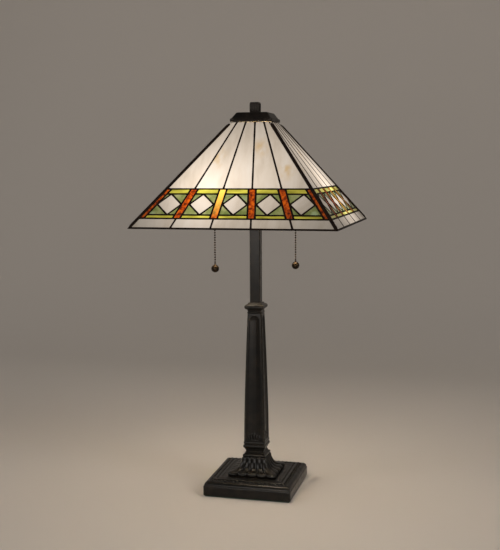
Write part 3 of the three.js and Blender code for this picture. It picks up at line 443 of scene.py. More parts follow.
def lamp_light(shader):
    """How brightly the two bulbs light the glass from behind: a spread light and a bright spot.

    The spot lies straight across from the bulb along the level direction in which the face looks.
    That direction is the one at rest: it doesn't turn with the shade.
    """
    geometry = shader.add("NewGeometry")
    slope = shader.add("Attribute", {"attribute_name": "outward"}).outputs["Vector"]
    level = shader.vector("NORMALIZE", shader.vector("MULTIPLY", slope, (1, 1, 0)))
    shares = shader.add("SeparateXYZ", None, Vector=shader.add(
        "Attribute", {"attribute_name": "glow"}).outputs["Vector"])
    total = AMBIENT_GLOW
    peak = 0.0
    for side in SIDES:
        away = shader.vector("SUBTRACT", geometry.outputs["Position"], bulb_centre(side) - CORE_DROP)
        distance = shader.vector("LENGTH", away, output=1)
        height = shader.math("MAXIMUM", shader.vector("DOT_PRODUCT", away, slope, output=1), 0.0)
        cube = shader.math("POWER", distance, 3.0)
        spread = shader.math("DIVIDE", shader.math("MULTIPLY", height, DIFFUSE_POWER), cube)
        total = shader.math("ADD", total, spread)
        along = shader.math("MAXIMUM", shader.vector("DOT_PRODUCT", away, level, output=1), NEAREST)
        off_line = shader.math("SUBTRACT", shader.math("MULTIPLY", distance, distance),
                               shader.math("MULTIPLY", along, along))
        bell = shader.math("EXPONENT", shader.math("DIVIDE", off_line, -2 * SPOT_RADIUS ** 2))
        closeness = shader.math("POWER", shader.math("DIVIDE", SPOT_DISTANCE, along), 2.0)
        spot = shader.math("MULTIPLY", shader.math("MULTIPLY", bell, closeness), SPOT_POWER)
        peak = shader.math("ADD", peak, spot)
    peak = shader.math("MULTIPLY", peak, shares.outputs["Y"])
    light = shader.math("ADD", shader.math("MULTIPLY", total, shares.outputs["X"]), peak)
    # The third share is how far a point's light is bleached pale: paler glass, and painted glare on one
    # front amber strip.
    return light, peak, shares.outputs["Z"]


SWIRL_BODY = (0.22, 0.16, 0.09)  # tone of a swirl in the glass itself
SWIRL_REACH = (1 / 17, 1 / 27, 0)  # one over a swirl's reach in mm, across and along
VEIN_SCALE = (0.10, 0.055, 1)


def glass(name, stops, streak, bump, glow_stops, wisps=None, swirl=None, bleach=None):
    """A sheet glass: streaky colour, a glossy skin and the light of the bulbs behind it.

    stops colour the streaks, streak is their scale across and along, glow_stops is the tone of the
    light that comes through, wisps is a second tone with its share, swirl the tone of the veins
    round the middle of a sheet, and bleach the tone that strong light turns to.
    """
    shader = Shader(name)
    sheet = shader.sheet()
    stretched = shader.vector("MULTIPLY", sheet, (streak[0], streak[1], 1))
    streaks = shader.noise(1.0, stretched, 5, 0.6)
    tone = shader.ramp(streaks, stops)
    light_tone = shader.ramp(streaks, glow_stops)
    if wisps:
        wisp_tone, low, high, wisp_scale = wisps
        patches = shader.noise(1.0, shader.vector("MULTIPLY", sheet, wisp_scale), 3, 0.5)
        share = shader.ramp(patches, [(low, 0), (high, 1)], colour=False)
        tone = shader.mix(share, tone, wisp_tone)
        light_tone = shader.mix(share, light_tone, wisp_tone)
    if swirl:
        reach = shader.vector("LENGTH", shader.vector("MULTIPLY", sheet, SWIRL_REACH), output=1)
        near = shader.ramp(reach, [(0.2, 0.85), (1.0, 0)], colour=False)
        veins = shader.noise(1.0, shader.vector("MULTIPLY", sheet, VEIN_SCALE), 2, 0.4)
        veins = shader.ramp(veins, [(0.40, 0), (0.66, 1)], colour=False)
        share = shader.math("MULTIPLY", near, veins)
        tone = shader.mix(share, tone, SWIRL_BODY)
        light_tone = shader.mix(share, light_tone, swirl)
    light, peak, pale = lamp_light(shader)
    if bleach:
        # Strong light bleaches the tone: the bulbs' bright spot, plus each strip's paleness, which on one
        # front amber strip is painted glare of the bulb behind it.
        strong = shader.math("ADD", shader.ramp(peak, [(0.30, 0), (0.75, 1)], colour=False), pale, True)
        light_tone = shader.mix(strong, light_tone, bleach)
    shader.set(
        Base_Color=tone,
        Roughness=0.3,
        Specular_IOR_Level=0.1,
        Emission_Color=light_tone,
        Emission_Strength=light,
        Coat_Weight=0.8,
        Coat_Roughness=0.1,
    )
    bump(shader, sheet)
    return shader.material


def ripple(shader, sheet):
    height = shader.noise(1.0, shader.vector("MULTIPLY", sheet, (0.25, 0.07, 1)), 2)
    shader.bump(height, 0.25, 0.0006)


def mottle(shader, sheet):
    height = shader.noise(1.0, shader.vector("MULTIPLY", sheet, (0.3, 0.3, 1)), 3)
    shader.bump(height, 0.35, 0.0006)


def hammer(shader, sheet):
    dimples = shader.add("TexVoronoi", {"feature": "SMOOTH_F1"}, Vector=sheet, Scale=0.42)
    shader.bump(dimples.outputs["Distance"], 0.9, 0.0012)


def bulb_centre(side):
    low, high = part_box(f"bulb_glass_{side}")
    return Vector((low + high) / 2)


bronze = cast_metal("dark_bronze", (0.004, 0.004, 0.0035), (0.013, 0.010, 0.0075),
                    (0.075, 0.068, 0.052), 0.25, 0.36, 0.38)
cap_bronze = cast_metal("cap_bronze", (0.006, 0.005, 0.0045), (0.018, 0.013, 0.010),
                        (0.048, 0.038, 0.029), 0.25, 0.42, 0.15)
solder = solder_patina()
chain_bronze = plain_metal("chain_bronze", (0.022, 0.016, 0.011), (0.06, 0.042, 0.026), 0.26)
brass = plain_metal("aged_brass", (0.30, 0.20, 0.08), (0.48, 0.35, 0.16), 0.35)
zinc = plain_metal("zinc_steel", (0.42, 0.42, 0.40), (0.58, 0.58, 0.56), 0.35)
iron = plain_metal("cast_iron", (0.04, 0.04, 0.04), (0.09, 0.085, 0.08), 0.65)

opal_glass = glass(
    "opal_glass",
    [(0.30, (0.17, 0.15, 0.12)), (0.50, (0.22, 0.20, 0.17)), (0.72, (0.26, 0.24, 0.21))],
    (0.035, 0.009), ripple,
    [(0.30, (1.0, 0.81, 0.62)), (0.50, (1.2, 1.0, 0.80)), (0.72, (1.28, 1.10, 0.92))],
    swirl=(1.06, 0.72, 0.36),
)
green_glass = glass(
    "green_glass",
    [(0.34, (0.05, 0.07, 0.02)), (0.50, (0.08, 0.10, 0.035)), (0.66, (0.13, 0.14, 0.06))],
    (0.07, 0.07), mottle,
    [(0.34, (0.20, 0.24, 0.055)), (0.50, (0.33, 0.35, 0.11)), (0.66, (0.52, 0.50, 0.21))],
    wisps=((0.28, 0.35, 0.19), 0.58, 0.74, (0.05, 0.05, 1)),
)
yellow_glass = glass(
    "yellow_glass",
    [(0.35, (0.12, 0.10, 0.012)), (0.65, (0.20, 0.17, 0.03))],
    (0.02, 0.09), mottle,
    [(0.35, (0.45, 0.40, 0.035)), (0.65, (1.25, 1.1, 0.13))],
    bleach=(2.3, 2.2, 1.1),
)
amber_glass = glass(
    "amber_glass",
    [(0.34, (0.03, 0.005, 0.001)), (0.50, (0.09, 0.02, 0.002)), (0.66, (0.15, 0.035, 0.004))],
    (0.22, 0.16), hammer,
    [(0.36, (0.11, 0.011, 0.0)), (0.49, (0.60, 0.062, 0.0)), (0.62, (1.15, 0.19, 0.003))],
    bleach=(2.4, 1.5, 0.22),
)

# ---- Shade ---------------------------------------------------------------------------------------


def inset_polygon(polygon, distance):
    """Moves each side of a convex anticlockwise polygon inwards."""
    moved = []
    count = len(polygon)
    for i in range(count):
        before, here, after = (Vector(polygon[(i + k) % count]) for k in (-1, 0, 1))
        enter = (here - before).normalized()
        leave = (after - here).normalized()
        bisector = Vector((-enter.y - leave.y, enter.x + leave.x)).normalized()
        reach = distance / max(bisector.dot(Vector((-enter.y, enter.x))), 0.2)
        moved.append(here + bisector * reach)
    return moved


PANE_TURN = 0.15  # most that a pane is cut askew to the streaks, in radians
SHEET_NEAR, SHEET_FAR = 400, 900  # mm from the middle of the sheet at which plain panes are cut
SHEET_LAYERS = 40


def add_pane(shape, polygon, rng, aligned=True, swirl=None, pale=(0, 0)):
    """One pane of sheet glass, cut from its own place on the sheet, or round a swirl at a point.

    pale is how far its light is bleached pale at its lower and upper end: paler glass, and on one front
    amber strip painted glare of the bulb behind it.
    """
    outline = inset_polygon(polygon, PANE_INSET)
    count = len(outline)
    turn = rng.uniform(-PANE_TURN, PANE_TURN) if aligned else rng.uniform(0, math.tau)
    side = rng.choice((-1, 1))
    shift = Vector((side * rng.uniform(SHEET_NEAR, SHEET_FAR), rng.uniform(-SHEET_FAR, SHEET_FAR)))
    layer = rng.uniform(-SHEET_LAYERS, SHEET_LAYERS)
    if swirl:
        shift = -(Matrix.Rotation(turn, 2) @ Vector(swirl))
    points = []
    sheet = []
    glare_and_paleness = []
    middle = sum(corner.y for corner in outline) / count
    for depth in (GLASS_DEPTH + GLASS_THICKNESS, GLASS_DEPTH):
        for corner in outline:
            points.append((corner.x, corner.y, -depth))
            cut = Matrix.Rotation(turn, 2) @ corner + shift
            sheet.append((cut.x, cut.y, layer - 0.2 * depth))
            glare_and_paleness.append(pale[corner.y > middle])
    faces = [tuple(reversed(range(count))), tuple(range(count, 2 * count))]
    for i in range(count):
        j = (i + 1) % count
        faces.append((i, j, count + j, count + i))
    shape.add(points, faces, sheet, glare_and_paleness)


# Half of the section through a solder seam, as (share of its half width, depth in mm).
SEAM_CREST = [(1.0, 0.95), (0.93, 0.55), (0.72, 0.24), (0.38, 0.06), (0.0, 0.0)]
SEAM_WEB = 0.24  # half width of the web between the panes, as a share of the seam's half width
SEAM_WEB_DEPTH = 0.98  # of the web's ends below the crests
SEAM_UNEVEN = 0.12  # of its half width, and of its crests in mm
SEAM_SWELL, SEAM_SWELL_REACH = 0.16, 2.5  # share of its half width, and mm from its ends


def seam_section():
    crest = SEAM_CREST + [(-across, depth) for across, depth in SEAM_CREST[-2::-1]]
    back = GLASS_THICKNESS + 2 * GLASS_DEPTH
    outer = crest + [(-SEAM_WEB, SEAM_WEB_DEPTH), (-SEAM_WEB, back - SEAM_WEB_DEPTH)]
    inner = [(-across, back - depth) for across, depth in crest]
    return outer + inner + [(SEAM_WEB, back - SEAM_WEB_DEPTH), (SEAM_WEB, SEAM_WEB_DEPTH)]


def add_seam(shape, start, end, seed):
    """A solder seam between two points of a face, slightly uneven and fuller at its ends."""
    start, end = Vector(start), Vector(end)
    along = end - start
    length = along.length
    along.normalize()
    across = Vector((along.y, -along.x))
    steps = max(3, round(length / 5))
    rings = []
    for step in range(steps + 1):
        distance = length * step / steps
        middle = start + along * distance
        uneven = noise.noise(Vector((distance * 0.12, seed, 0.5)))
        end_gap = min(distance, length - distance)
        swell = SEAM_SWELL * math.exp(-end_gap / SEAM_SWELL_REACH)
        half = SEAM_HALF * (1 + SEAM_UNEVEN * uneven + swell)
        lift = SEAM_UNEVEN * noise.noise(Vector((distance * 0.2, seed, 7.5))) + 0.1
        ring = []
        for share, depth in seam_section():
            point = middle + across * (share * half)
            sunk = depth + lift if depth < GLASS_DEPTH else depth
            ring.append((point.x, point.y, -sunk))
        rings.append(ring[::-1])
    shape.loft(rings)


# How much of the bulbs' light the diamonds and the border panes pass, against the upper panes.
BAND_SHARE = 0.77
BORDER_SHARE = 0.68
# Amber strips whose light is bleached pale, as {(face, strip): paleness at its lower and upper end}: on the
# front strip this is painted glare of the bulb behind it, on the others paler glass.
GLARE_AND_PALE_STRIPS = {("front", 1): (0.0, 0.8), ("back", 1): (0.5, 0.1), ("right", 3): (0.1, 0.4)}
# Swirls in the upper panes of each face, as {pane: (across, slant)} in mm.
SWIRLS = {
    "front": {1: (-42, 143), 3: (25, 160), 4: (74, 116)},
    "right": {0: (-70, 120), 2: (4, 150)},
    "back": {1: (-30, 130), 2: (6, 170), 4: (90, 105)},
    "left": {0: (-84, 110), 3: (30, 145)},
}


def build_face(index, side):
    place = face_matrix(index)
    rng = random.Random(40 + index)
    upper, border, diamonds, greens, yellows, ambers, seams = (Shape() for _ in range(7))
    for cell in range(5):
        add_pane(upper, cell_quad(cell, BAND_TOP, SLANT), rng, swirl=SWIRLS[side].get(cell))
        add_pane(border, cell_quad(cell, BORDER_LOW, BORDER_TOP), rng)
        add_pane(diamonds, diamond(cell), rng, aligned=False)
        for triangle in corner_triangles(cell):
            add_pane(greens, triangle, rng, aligned=False)
        add_pane(yellows, cell_quad(cell, BORDER_TOP, LOWER_STRIP_TOP, True), rng)
        add_pane(yellows, cell_quad(cell, UPPER_STRIP_BOTTOM, BAND_TOP, True), rng)
    for number, quad in enumerate(amber_quads()):
        # Bleached-pale amber strips: painted glare of the bulb on the front one, paler glass on the others.
        add_pane(ambers, quad, rng, pale=GLARE_AND_PALE_STRIPS.get((side, number), (0, 0)))
    for number, (start, end) in enumerate(seam_lines()):
        add_seam(seams, start, end, index * 100 + number)
    band = f"band_glass_{side}"
    for shape, name, material, node, slot, share in (
            (upper, "upper_panes", opal_glass, f"upper_glass_{side}", "opal_glass", 1.0),
            (border, "border_panes", opal_glass, f"border_glass_{side}", "opal_glass", BORDER_SHARE),
            (diamonds, "diamond_panes", opal_glass, band, "band_glass", BAND_SHARE),
            (greens, "green_panes", green_glass, band, "band_glass", 1.0),
            (yellows, "yellow_strips", yellow_glass, band, "band_glass", 1.0),
            (ambers, "amber_strips", amber_glass, band, "band_glass", 1.0)):
        shape.piece(f"{name}_{side}", material, "shade", [node], slot, place,
                    glow=(share, share))
    seams.piece(f"solder_seams_{side}", solder, "shade", [f"seam_lattice_{side}"], "seam", place)


# Section of the rim bar as (slant, depth) in mm, flat underneath and rounded over its lip.
RIM_SECTION = [(0.25, 0.15), (2.9, 0.0), (3.6, 0.3), (3.9, 1.0), (3.9, 3.8), (3.6, 4.5),
               (2.9, 4.6), (1.2, 2.0)]


def build_rim(index, side):
    shape = Shape()
    steps = 40
    rings = []
    for step in range(steps + 1):
        share = -1 + 2 * step / steps
        ring = []
        for number, (slant, depth) in enumerate(RIM_SECTION):
            wobble = 0.12 * noise.noise(Vector((share * 30, index, number * 0.6)))
            slant_here = slant + wobble * (0.3 < slant)
            inward = slant_here * math.cos(SLOPE) + depth * math.sin(SLOPE)
            level = RIM_LEVEL + slant_here * math.sin(SLOPE) - depth * math.cos(SLOPE)
            y = -(RIM_HALF - inward)
            ring.append(Matrix.Rotation(index * math.pi / 2, 3, "Z") @ Vector((-share * y, y, level)))
        rings.append(ring)
    shape.loft(rings)
    shape.piece(f"rim_channel_{side}", solder, "shade", [f"rim_bar_{side}"], "seam", METRES)


HIP_SIDES = 16
HIP_RADIUS = 2.9
HIP_DEPTH = 2.0  # of the bead's centre below the hip line


def build_hip(index, side):
    shape = Shape()
    inward = Vector((-math.sin(SLOPE), math.sin(SLOPE), -2 * math.cos(SLOPE))).normalized()
    along = Vector((-math.cos(SLOPE), math.cos(SLOPE), math.sin(SLOPE))).normalized()
    side_way = along.cross(inward).normalized()
    first, last = 2.6, SLANT - 2.5
    steps = 44
    rings = []
    for step in range(steps + 1):
        slant = first + (last - first) * step / steps
        hip = Vector((face_half(slant), -face_half(slant), RIM_LEVEL + slant * math.sin(SLOPE)))
        middle = hip + inward * HIP_DEPTH
        taper = 0.55 if step in (0, steps) else 1
        radius = HIP_RADIUS * taper * (1 + 0.05 * noise.noise(Vector((slant * 0.09, index, 3.3))))
        ring = []
        for i in range(HIP_SIDES):
            angle = math.tau * i / HIP_SIDES
            ring.append(middle + side_way * (radius * math.cos(angle))
                        + inward * (radius * math.sin(angle)))
        rings.append([Matrix.Rotation(index * math.pi / 2, 3, "Z") @ p for p in ring[::-1]])
    shape.loft(rings)
    shape.piece(f"hip_bead_{side}", solder, "shade", [f"hip_seam_{side}"], "seam", METRES)


def build_cap():
    bottom, top = levels_of("vase_cap")
    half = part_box("vase_cap")[1].x / MM
    top_half = 26.1
    flange = 5.8
    shape = Shape()
    profile = [
        (half - 3, bottom + 0.6), (half - 0.8, bottom), (half, bottom + 0.8),
        (half, bottom + flange - 1.4), (half - 0.5, bottom + flange - 0.5),
        (half - 1.5, bottom + flange), (half - 2.3, bottom + flange + 0.4),
        (top_half + 1.2, top - 1.6), (top_half + 0.3, top - 0.5), (top_half - 1, top), (12, top),
    ]
    shape.loft([square_ring(h, z, corner=min(2.2, h / 4), side_steps=6) for h, z in profile])
    shape.piece("cap_casting", cap_bronze, "shade", ["vase_cap"], "cap_metal", METRES)


def build_finial():
    bottom, top = levels_of("finial")
    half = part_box("finial")[1].x / MM
    ribs = 5

    def reeds(share, _side):
        return 0.55 * (0.5 - 0.5 * math.cos(ribs * math.pi * (share + 1)))

    shape = Shape()
    levels = [(half - 1.2, bottom, False), (half - 0.4, bottom + 0.4, False),
              (half - 0.3, bottom + 1.4, False), (half, bottom + 1.9, True), (half, top - 2.6, True),
              (half - 0.3, top - 2.0, False), (half - 0.5, top - 0.7, False), (half - 1.4, top, False)]
    rings = []
    for ring_half, level, ribbed in levels:
        rings.append(square_ring(ring_half, level, 0.9, ribs * 8, reeds if ribbed else None))
    shape.loft(rings)
    shape.piece("finial_casting", cap_bronze, "finial", ["finial"], "cap_metal", METRES)


for face_index, face_name in enumerate(FACES):
    build_face(face_index, face_name)
    build_rim(face_index, face_name)
    build_hip(face_index, face_name)
build_cap()
build_finial()

# ---- Stand ---------------------------------------------------------------------------------------


def build_base():
    bottom, top = levels_of("base_plate")
    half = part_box("base_plate")[1].x / MM
    side_top, border_level = 18.5, 25.8
    border_out, border_in, frame_line, pedestal_half = 67.5, 61.5, 55.5, 44
    profile = [(half - 1.2, bottom), (half - 0.3, bottom + 0.3), (half, bottom + 1.2), (half, bottom + 3),
               (half, bottom + 6), (half, side_top - 5), (half, side_top - 2.5), (half, side_top - 0.5),
               (half - 0.3, side_top), (half - 1.0, side_top + 0.5)]
    span, rise = half - 1.0 - border_out, border_level - side_top - 0.5
    arc_steps = 8
    for step in range(1, arc_steps + 1):
        angle = math.pi / 2 * step / arc_steps
        profile.append((half - 1.0 - span * (1 - math.cos(angle)), side_top + 0.5 + rise * math.sin(angle)))
    profile += [(border_out - 0.7, border_level), (border_out - 1.0, border_level - 0.8),
                (border_in + 0.9, border_level - 0.8), (border_in + 0.4, border_level),
                (border_in, top - 0.9), (border_in - 0.6, top - 0.2),
                (border_in - 1.4, top), (frame_line + 1.8, top), (frame_line + 1.1, top - 0.3),
                (frame_line + 0.7, top - 1.4), (frame_line, top - 1.5), (frame_line - 0.5, top - 0.5),
                (frame_line - 1.2, top - 0.25), (frame_line - 5.0, top - 0.25),
                (frame_line - 5.3, top - 0.7), (frame_line - 5.8, top - 0.7),
                (frame_line - 6.1, top - 0.25), (pedestal_half, top - 0.25)]
    shape = Shape()
    shape.loft([square_ring(h, z, corner=min(1.2, h / 8), side_steps=32) for h, z in profile])
    bead_row(shape, (border_out - 1.0 + border_in + 0.9) / 2, border_level - 0.85)
    shape.piece("base_casting", bronze, "stand", ["base_plate"], "bronze", METRES)


def bead_row(shape, half, level):
    """The border of egg-shaped beads with small round ones between them, round the base."""
    per_side = 18
    large, small = (2.7, 2.1, 2.7), (0.7, 1.4, 1.3)  # half length, half width and height
    pitch = 2 * half / per_side
    for side in range(4):
        turn = Matrix.Rotation(side * math.pi / 2, 4, "Z")
        for number in range(per_side):
            middle = -half + pitch * (number + 0.5)
            for place, size in ((middle, large), (middle - pitch / 2, small)):
                add_dome(shape, turn @ Matrix.Translation((place, -half, level)), *size)


def add_dome(shape, place, along, across, height):
    rings = []
    steps, sides = 4, 12
    for step in range(steps + 1):
        angle = math.pi / 2 * step / steps
        reach = max(math.cos(angle), 0.06)
        rings.append([
            (place @ Vector((along * reach * math.cos(math.tau * i / sides),
                             across * reach * math.sin(math.tau * i / sides),
                             height * math.sin(angle)))).to_3d()
            for i in range(sides)
        ])
    shape.loft(rings)


# A leaf's outline as (half width, rise): thick tip, knee, hollow and a full top under the rim.
LEAF_LINE = [
    (40.6, 0), (41.8, 0.5), (42.4, 1.6), (42.4, 3.0), (41.8, 4.4), (40.4, 5.4), (38.4, 6.0), (36.2, 6.5),
    (34.0, 7.1), (31.8, 8.0), (29.8, 9.1), (28.2, 10.4), (26.8, 12.0), (25.6, 13.8), (24.5, 15.8),
    (23.6, 17.6), (22.9, 19.4), (22.4, 21.0), (22.1, 22.6), (21.9, 24.4), (21.6, 26.0), (21.0, 27.4),
    (20.1, 28.4), (18.8, 29.0),
]


def build_pedestal():
    """A hollow quarter round of five leaves a side, with thick tips that roll under at the foot."""
    bottom, top = levels_of("fluted_pedestal")
    rim_bottom = top - 5.5
    leaves = 5
    shape = Shape()
    rings = []
    for half, rise in LEAF_LINE:
        near_foot = math.exp(-(max(rise - 3, 0) / 8) ** 2)
        depth = 1.3 + 2.4 * near_foot
        rib_height = 0.3 * smooth_step((rise - 6) / 4)

        def leaf(along, _side, depth=depth, near_foot=near_foot, rib_height=rib_height):
            phase = (along + 1) / 2 * leaves % 1
            edge = abs(math.sin(math.pi * phase))
            groove = 1 - edge ** (0.42 + 0.15 * near_foot)
            rib = math.exp(-((phase - 0.5) / 0.08) ** 2)
            return depth * groove - rib_height * rib + 0.35 * (1 - edge)

        rings.append(square_ring(half, bottom + rise, 0.5, leaves * 14, leaf))
    rim_half = 20.0
    for ring_half, level in [
            (rim_half - 0.6, rim_bottom + 0.2), (rim_half - 0.2, rim_bottom + 0.7),
            (rim_half, rim_bottom + 1.2), (rim_half, rim_bottom + 2.7), (rim_half - 0.3, rim_bottom + 3.2),
            (rim_half - 1.2, rim_bottom + 3.6), (17.6, rim_bottom + 4.0), (17.2, rim_bottom + 4.6),
            (16.4, top)]:
        rings.append(square_ring(ring_half, level, 0.5, leaves * 14))
    shape.loft(rings)
    shape.piece("leaf_pedestal", bronze, "stand", ["fluted_pedestal"], "bronze", METRES)


def build_waist():
    bottom, top = levels_of("waist_collar")
    shape = Shape()
    profile = [(16.2, bottom), (16.8, bottom + 0.5), (16.3, bottom + 1.3), (15.4, bottom + 1.7),
               (15.2, top - 3.4), (15.6, top - 2.3), (16.2, top - 1.2), (16.8, top - 0.5), (16.6, top)]
    shape.loft([square_ring(h, z, 0.5, 4) for h, z in profile])
    shape.piece("waist_moulding", bronze, "stand", ["waist_collar"], "bronze", METRES)


def smooth_step(value):
    value = min(max(value, 0), 1)
    return value * value * (3 - 2 * value)


CHAMFER_SHARE = 0.15  # of the column's half width, taken off by the chamfers
ENTASIS = 1.45
ORNAMENT_PROUD = 0.35  # most that the leaves stand out of the column's face
# The column's foot as (half width, rise), below the leaves.
FOOT_MOULDING = [
    (16.4, 0), (16.9, 0.4), (18.4, 2.2), (19.1, 3.0), (19.2, 3.6), (19.2, 5.4), (18.9, 6.6), (18.2, 7.3),
    (17.7, 7.7), (17.7, 8.5), (18.3, 8.9), (18.5, 9.4), (18.5, 12.0), (18.2, 12.6), (17.9, 12.8),
]


def build_column():
    """The tapered shaft, with a hollowed arched panel and a spray of leaves in each face."""
    bottom, top = levels_of("column_shaft")
    bottom_half, top_half = 18.3, 12.4
    taper_bottom = bottom + 13
    panel_bottom, panel_top = bottom + 15, top - 4.0

    def taper(level):
        share = max(0.0, (level - taper_bottom) / (top - taper_bottom))
        return top_half + (bottom_half - top_half) * (1 - share ** ENTASIS)

    def recess(level, half):
        border = 0.33 * half
        flat = half * (1 - CHAMFER_SHARE)

        def sink(share, _side):
            across = abs(share) * flat
            panel_half = half - border
            arch_centre = panel_top - panel_half
            reach = math.hypot(across, level - arch_centre) if level > arch_centre else across
            inside = panel_half - reach
            edge = smooth_step(inside / 0.8)
            scoop = smooth_step(inside / (0.8 * panel_half))
            foot = smooth_step((level - panel_bottom) / 1.5)
            hollow = (1.2 + 0.095 * half * scoop) * edge * foot
            fade = smooth_step((flat - across) / 1.5)
            return max(hollow - ornament(share * flat, level) * fade, -ORNAMENT_PROUD)
        return sink

    def ornament(across, level):
        """A spray of leaves over the whole width of the panel's foot."""
        rise = level - panel_bottom
        height = 0.0
        for offset, leaf_height, width in (
                (0.0, 15.0, 2.7), (-4.7, 12.5, 2.3), (4.7, 12.5, 2.3), (-9.4, 9.5, 2.4), (9.4, 9.5, 2.4)):
            lift = rise / leaf_height
            if 0 < lift < 1:
                spread = width * math.sin(math.pi * min(1.0, 0.38 + 0.62 * lift))
                lean = offset * (1 - 0.10 * lift)
                near = 1 - ((across - lean) / max(spread, 0.3)) ** 2
                vein = 0.35 * math.exp(-((across - lean) / 0.45) ** 2)
                height = max(height, (2.7 * max(near, 0) ** 0.6 - vein) * (1 - lift ** 4))
        return height * smooth_step(rise / 1.2)

    shape = Shape()
    rings = [square_ring(half, bottom + rise, 0.5, 40) for half, rise in FOOT_MOULDING]
    level = bottom + 13.4
    while level < top - 0.9:
        half = taper(level)
        rings.append(square_ring(half, level, CHAMFER_SHARE * half, 40, recess(level, half)))
        near_detail = level < panel_bottom + 16 or level > top - 18
        level += 0.8 if near_detail else 6.0
    rings.append(square_ring(taper(top), top - 0.5, CHAMFER_SHARE * top_half, 40))
    rings.append(square_ring(taper(top) - 0.5, top, CHAMFER_SHARE * top_half, 40))
    shape.loft(rings)
    shape.piece("column_casting", bronze, "stand", ["column_shaft"], "bronze", METRES, smooth=35)


# The cushion collar as (half width, rise).
COLLAR_MOULDING = [
    (12.3, 0), (12.6, 0.4), (12.8, 1.2), (12.5, 1.9), (11.9, 2.4), (11.9, 3.0), (12.1, 4.8), (12.7, 6.2),
    (13.6, 7.0), (14.6, 7.3), (15.4, 7.8), (16.0, 8.7), (16.4, 9.8), (16.6, 11.0), (16.5, 12.2),
    (16.1, 13.3), (15.4, 14.2), (14.4, 14.9), (13.2, 15.3), (12.2, 15.5), (11.8, 16.0), (11.7, 16.8),
    (11.2, 17.6), (10.4, 18.2),
]


def build_collar():
    bottom = levels_of("column_collar")[0]
    shape = Shape()
    shape.loft([square_ring(h, bottom + rise, 0.6, 4) for h, rise in COLLAR_MOULDING])
    shape.piece("cushion_collar", bronze, "stand", ["column_collar"], "bronze", METRES)


def build_post():
    bottom, top = levels_of("upper_post")
    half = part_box("upper_post")[1].x / MM
    shape = Shape()
    profile = [(half - 0.4, bottom), (half, bottom + 0.4), (half, bottom + 2), (half, bottom + 5),
               (half, top - 5), (half, top - 2), (half, top - 0.4), (half - 0.4, top)]
    shape.loft([square_ring(h, z, 1.1, 8) for h, z in profile])
    shape.piece("square_post", bronze, "stand", ["upper_post"], "bronze", METRES)


build_base()
build_pedestal()
build_waist()
build_column()
build_collar()
build_post()

# ---- Chains, bulbs and fittings ------------------------------------------------------------------


def build_chain(side):
    centre = centre_of(f"pull_chain_{side}")
    bottom, top = levels_of(f"pull_chain_{side}")
    bead = 1.5
    wire = 0.32
    beads = 14
    pitch = (top - bottom - 2 * bead) / (beads - 1)
    shape = Shape()
    for number in range(beads):
        middle = top - bead - number * pitch
        turned(shape, arc((0, middle), bead, -88, 88, 8), centre, 14)
        if number < beads - 1:
            turned(shape, [(wire, middle - pitch + bead * 0.9), (wire, middle - bead * 0.9)], centre, 8)
    shape.piece(f"bead_chain_{side}", chain_bronze, f"pull_chain_{side}", [f"pull_chain_{side}"],
                "chain_metal", METRES)
    low, high = levels_of(f"chain_ball_{side}")
    radius = 6.6
    ball = Shape()
    profile = arc((0, low + radius), radius, -88, 74, 16)
    profile += [(1.5, high - 2.2), (1.3, high - 1.2), (1.6, high - 0.7), (1.2, high)]
    turned(ball, profile, centre, 32)
    ball.piece(f"pull_ball_{side}", chain_bronze, f"pull_chain_{side}", [f"chain_ball_{side}"],
               "chain_metal", METRES)
    stem_low, stem_high = levels_of(f"chain_stem_{side}")
    stem = Shape()
    count = 3
    margin = 1.25  # from the stem's ends to the middles of its outer beads
    for number in range(count):
        middle = stem_low + margin + number * (stem_high - stem_low - 2 * margin) / (count - 1)
        turned(stem, arc((0, middle), 1.24, -88, 88, 6), centre, 12)
    turned(stem, [(0.5, stem_low + 1), (0.5, stem_high - 1)], centre, 8)
    stem.piece(f"stem_beads_{side}", chain_bronze, f"chain_stem_{side}", [f"chain_stem_{side}"],
               "chain_metal", METRES)


def bulb_glow():
    shader = Shader("bulb_glow")
    shader.set(
        Base_Color=(0.9, 0.86, 0.78, 1),
        Roughness=0.35,
        Emission_Color=shader.ramp(shader.noise(40, shader.place(), 2),
                                   [(0.3, (1.0, 0.84, 0.64)), (0.7, (1.0, 0.88, 0.70))]),
        Emission_Strength=130.0,
    )
    return shader.material


def felt_cloth():
    shader = Shader("green_felt")
    place = shader.place()
    fibres = shader.noise(1400, place, 4)
    shader.set(
        Base_Color=shader.ramp(fibres, [(0.3, (0.015, 0.035, 0.022)), (0.7, (0.04, 0.08, 0.05))]),
        Roughness=0.95,
    )
    shader.bump(fibres, 0.6, 0.0004)
    return shader.material


def black_plastic():
    shader = Shader("black_plastic")
    shader.set(
        Base_Color=shader.ramp(shader.noise(500, shader.place(), 2),
                               [(0.3, (0.012, 0.012, 0.012)), (0.7, (0.025, 0.025, 0.025))]),
        Roughness=0.5,
    )
    return shader.material


def dress(material, *nodes):
    """Gives CAD nodes a finished material."""
    for node in nodes:
        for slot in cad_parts[node].material_slots:
            slot.material = material


bulb_light = bulb_glow()
for side_name in SIDES:
    build_chain(side_name)
    dress(bulb_light, f"bulb_glass_{side_name}")
    dress(zinc, f"bulb_base_{side_name}")
    dress(brass, f"socket_cap_{side_name}", f"socket_shell_{side_name}", f"chain_bell_{side_name}")
dress(brass, "cluster_body", "cluster_nut", "riser_pipe", "seat_nut", "seat_washer", "crown_ring")
dress(zinc, "bottom_washer", "bottom_nut", "threaded_rod")
dress(iron, "ballast_plate")
dress(felt_cloth(), "base_felt")
dress(black_plastic(), "cord_bushing")

# ---- Stage, light and camera ---------------------------------------------------------------------


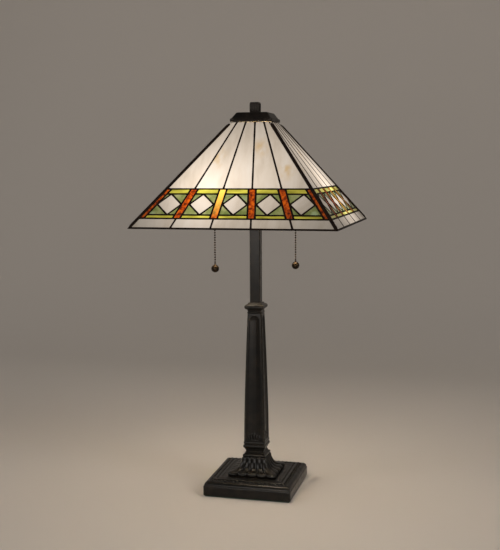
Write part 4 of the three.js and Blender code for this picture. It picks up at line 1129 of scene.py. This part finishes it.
def build_stage():
    """A pale floor that curves up into a backdrop."""
    shader = Shader("pale_floor")
    shader.set(Base_Color=(0.56, 0.52, 0.48, 1), Roughness=0.75)
    wide, front, back, high, curve = 4.0, -3.5, 2.2, 4.5, 1.2
    profile = [(front, 0.0), (back - curve, 0.0)]
    arc_steps = 12
    for step in range(1, arc_steps + 1):
        angle = math.pi / 2 * step / arc_steps
        profile.append((back - curve + curve * math.sin(angle), curve - curve * math.cos(angle)))
    profile.append((back, high))
    points = []
    for y, z in profile:
        points += [(-wide, y, z), (wide, y, z)]
    faces = [(2 * i, 2 * i + 1, 2 * i + 3, 2 * i + 2) for i in range(len(profile) - 1)]
    mesh = bpy.data.meshes.new("floor")
    mesh.from_pydata(points, [], faces)
    mesh.shade_smooth()
    mesh.materials.append(shader.material)
    floor = bpy.data.objects.new("floor", mesh)
    bpy.context.scene.collection.objects.link(floor)


def add_light(name, place, target, size, power, colour):
    data = bpy.data.lights.new(name, "AREA")
    data.shape = "RECTANGLE"
    data.size, data.size_y = size
    data.energy = power
    data.color = colour
    light = bpy.data.objects.new(name, data)
    light.location = place
    light.rotation_euler = (Vector(target) - Vector(place)).to_track_quat("-Z", "Y").to_euler()
    bpy.context.scene.collection.objects.link(light)


def build_lights():
    add_light("key", (1.9, -0.9, 1.5), (0, 0, 0.25), (0.8, 1.5), 18, (1.0, 0.96, 0.91))
    add_light("fill", (-1.9, -1.5, 1.6), (0, 0, 0.2), (0.7, 1.4), 9, (1.0, 0.95, 0.90))
    add_light("front", (0.35, -3.2, 0.5), (0, 0, 0.3), (2.6, 0.9), 24, (1.0, 0.94, 0.88))
    add_light("rim", (-2.4, 0.4, 1.9), (0, 0, 0.3), (1.2, 0.8), 8, (1.0, 0.95, 0.89))
    world = bpy.data.worlds.new("studio")
    world.use_nodes = True
    background = world.node_tree.nodes["Background"]
    background.inputs["Color"].default_value = (0.80, 0.75, 0.70, 1)
    background.inputs["Strength"].default_value = 0.14
    bpy.context.scene.world = world


def build_camera():
    """A camera in front and a little to the right, looking slightly down."""
    data = bpy.data.cameras.new("camera")
    data.sensor_width = 36
    data.lens = 64.592
    data.clip_end = 20
    camera = bpy.data.objects.new("camera", data)
    azimuth, distance, height = math.radians(13.662), 1.6692, 0.5574
    down, roll, aside = math.radians(6.407), math.radians(0.279), math.radians(0.315)
    camera.location = (distance * math.sin(azimuth), -distance * math.cos(azimuth), height)
    camera.rotation_euler = (math.radians(90) - down, roll, azimuth + aside)
    bpy.context.scene.collection.objects.link(camera)
    bpy.context.scene.camera = camera


build_stage()
build_lights()
build_camera()
bpy.context.scene.view_settings.view_transform = "Standard"
bpy.context.scene.cycles.use_denoising = True
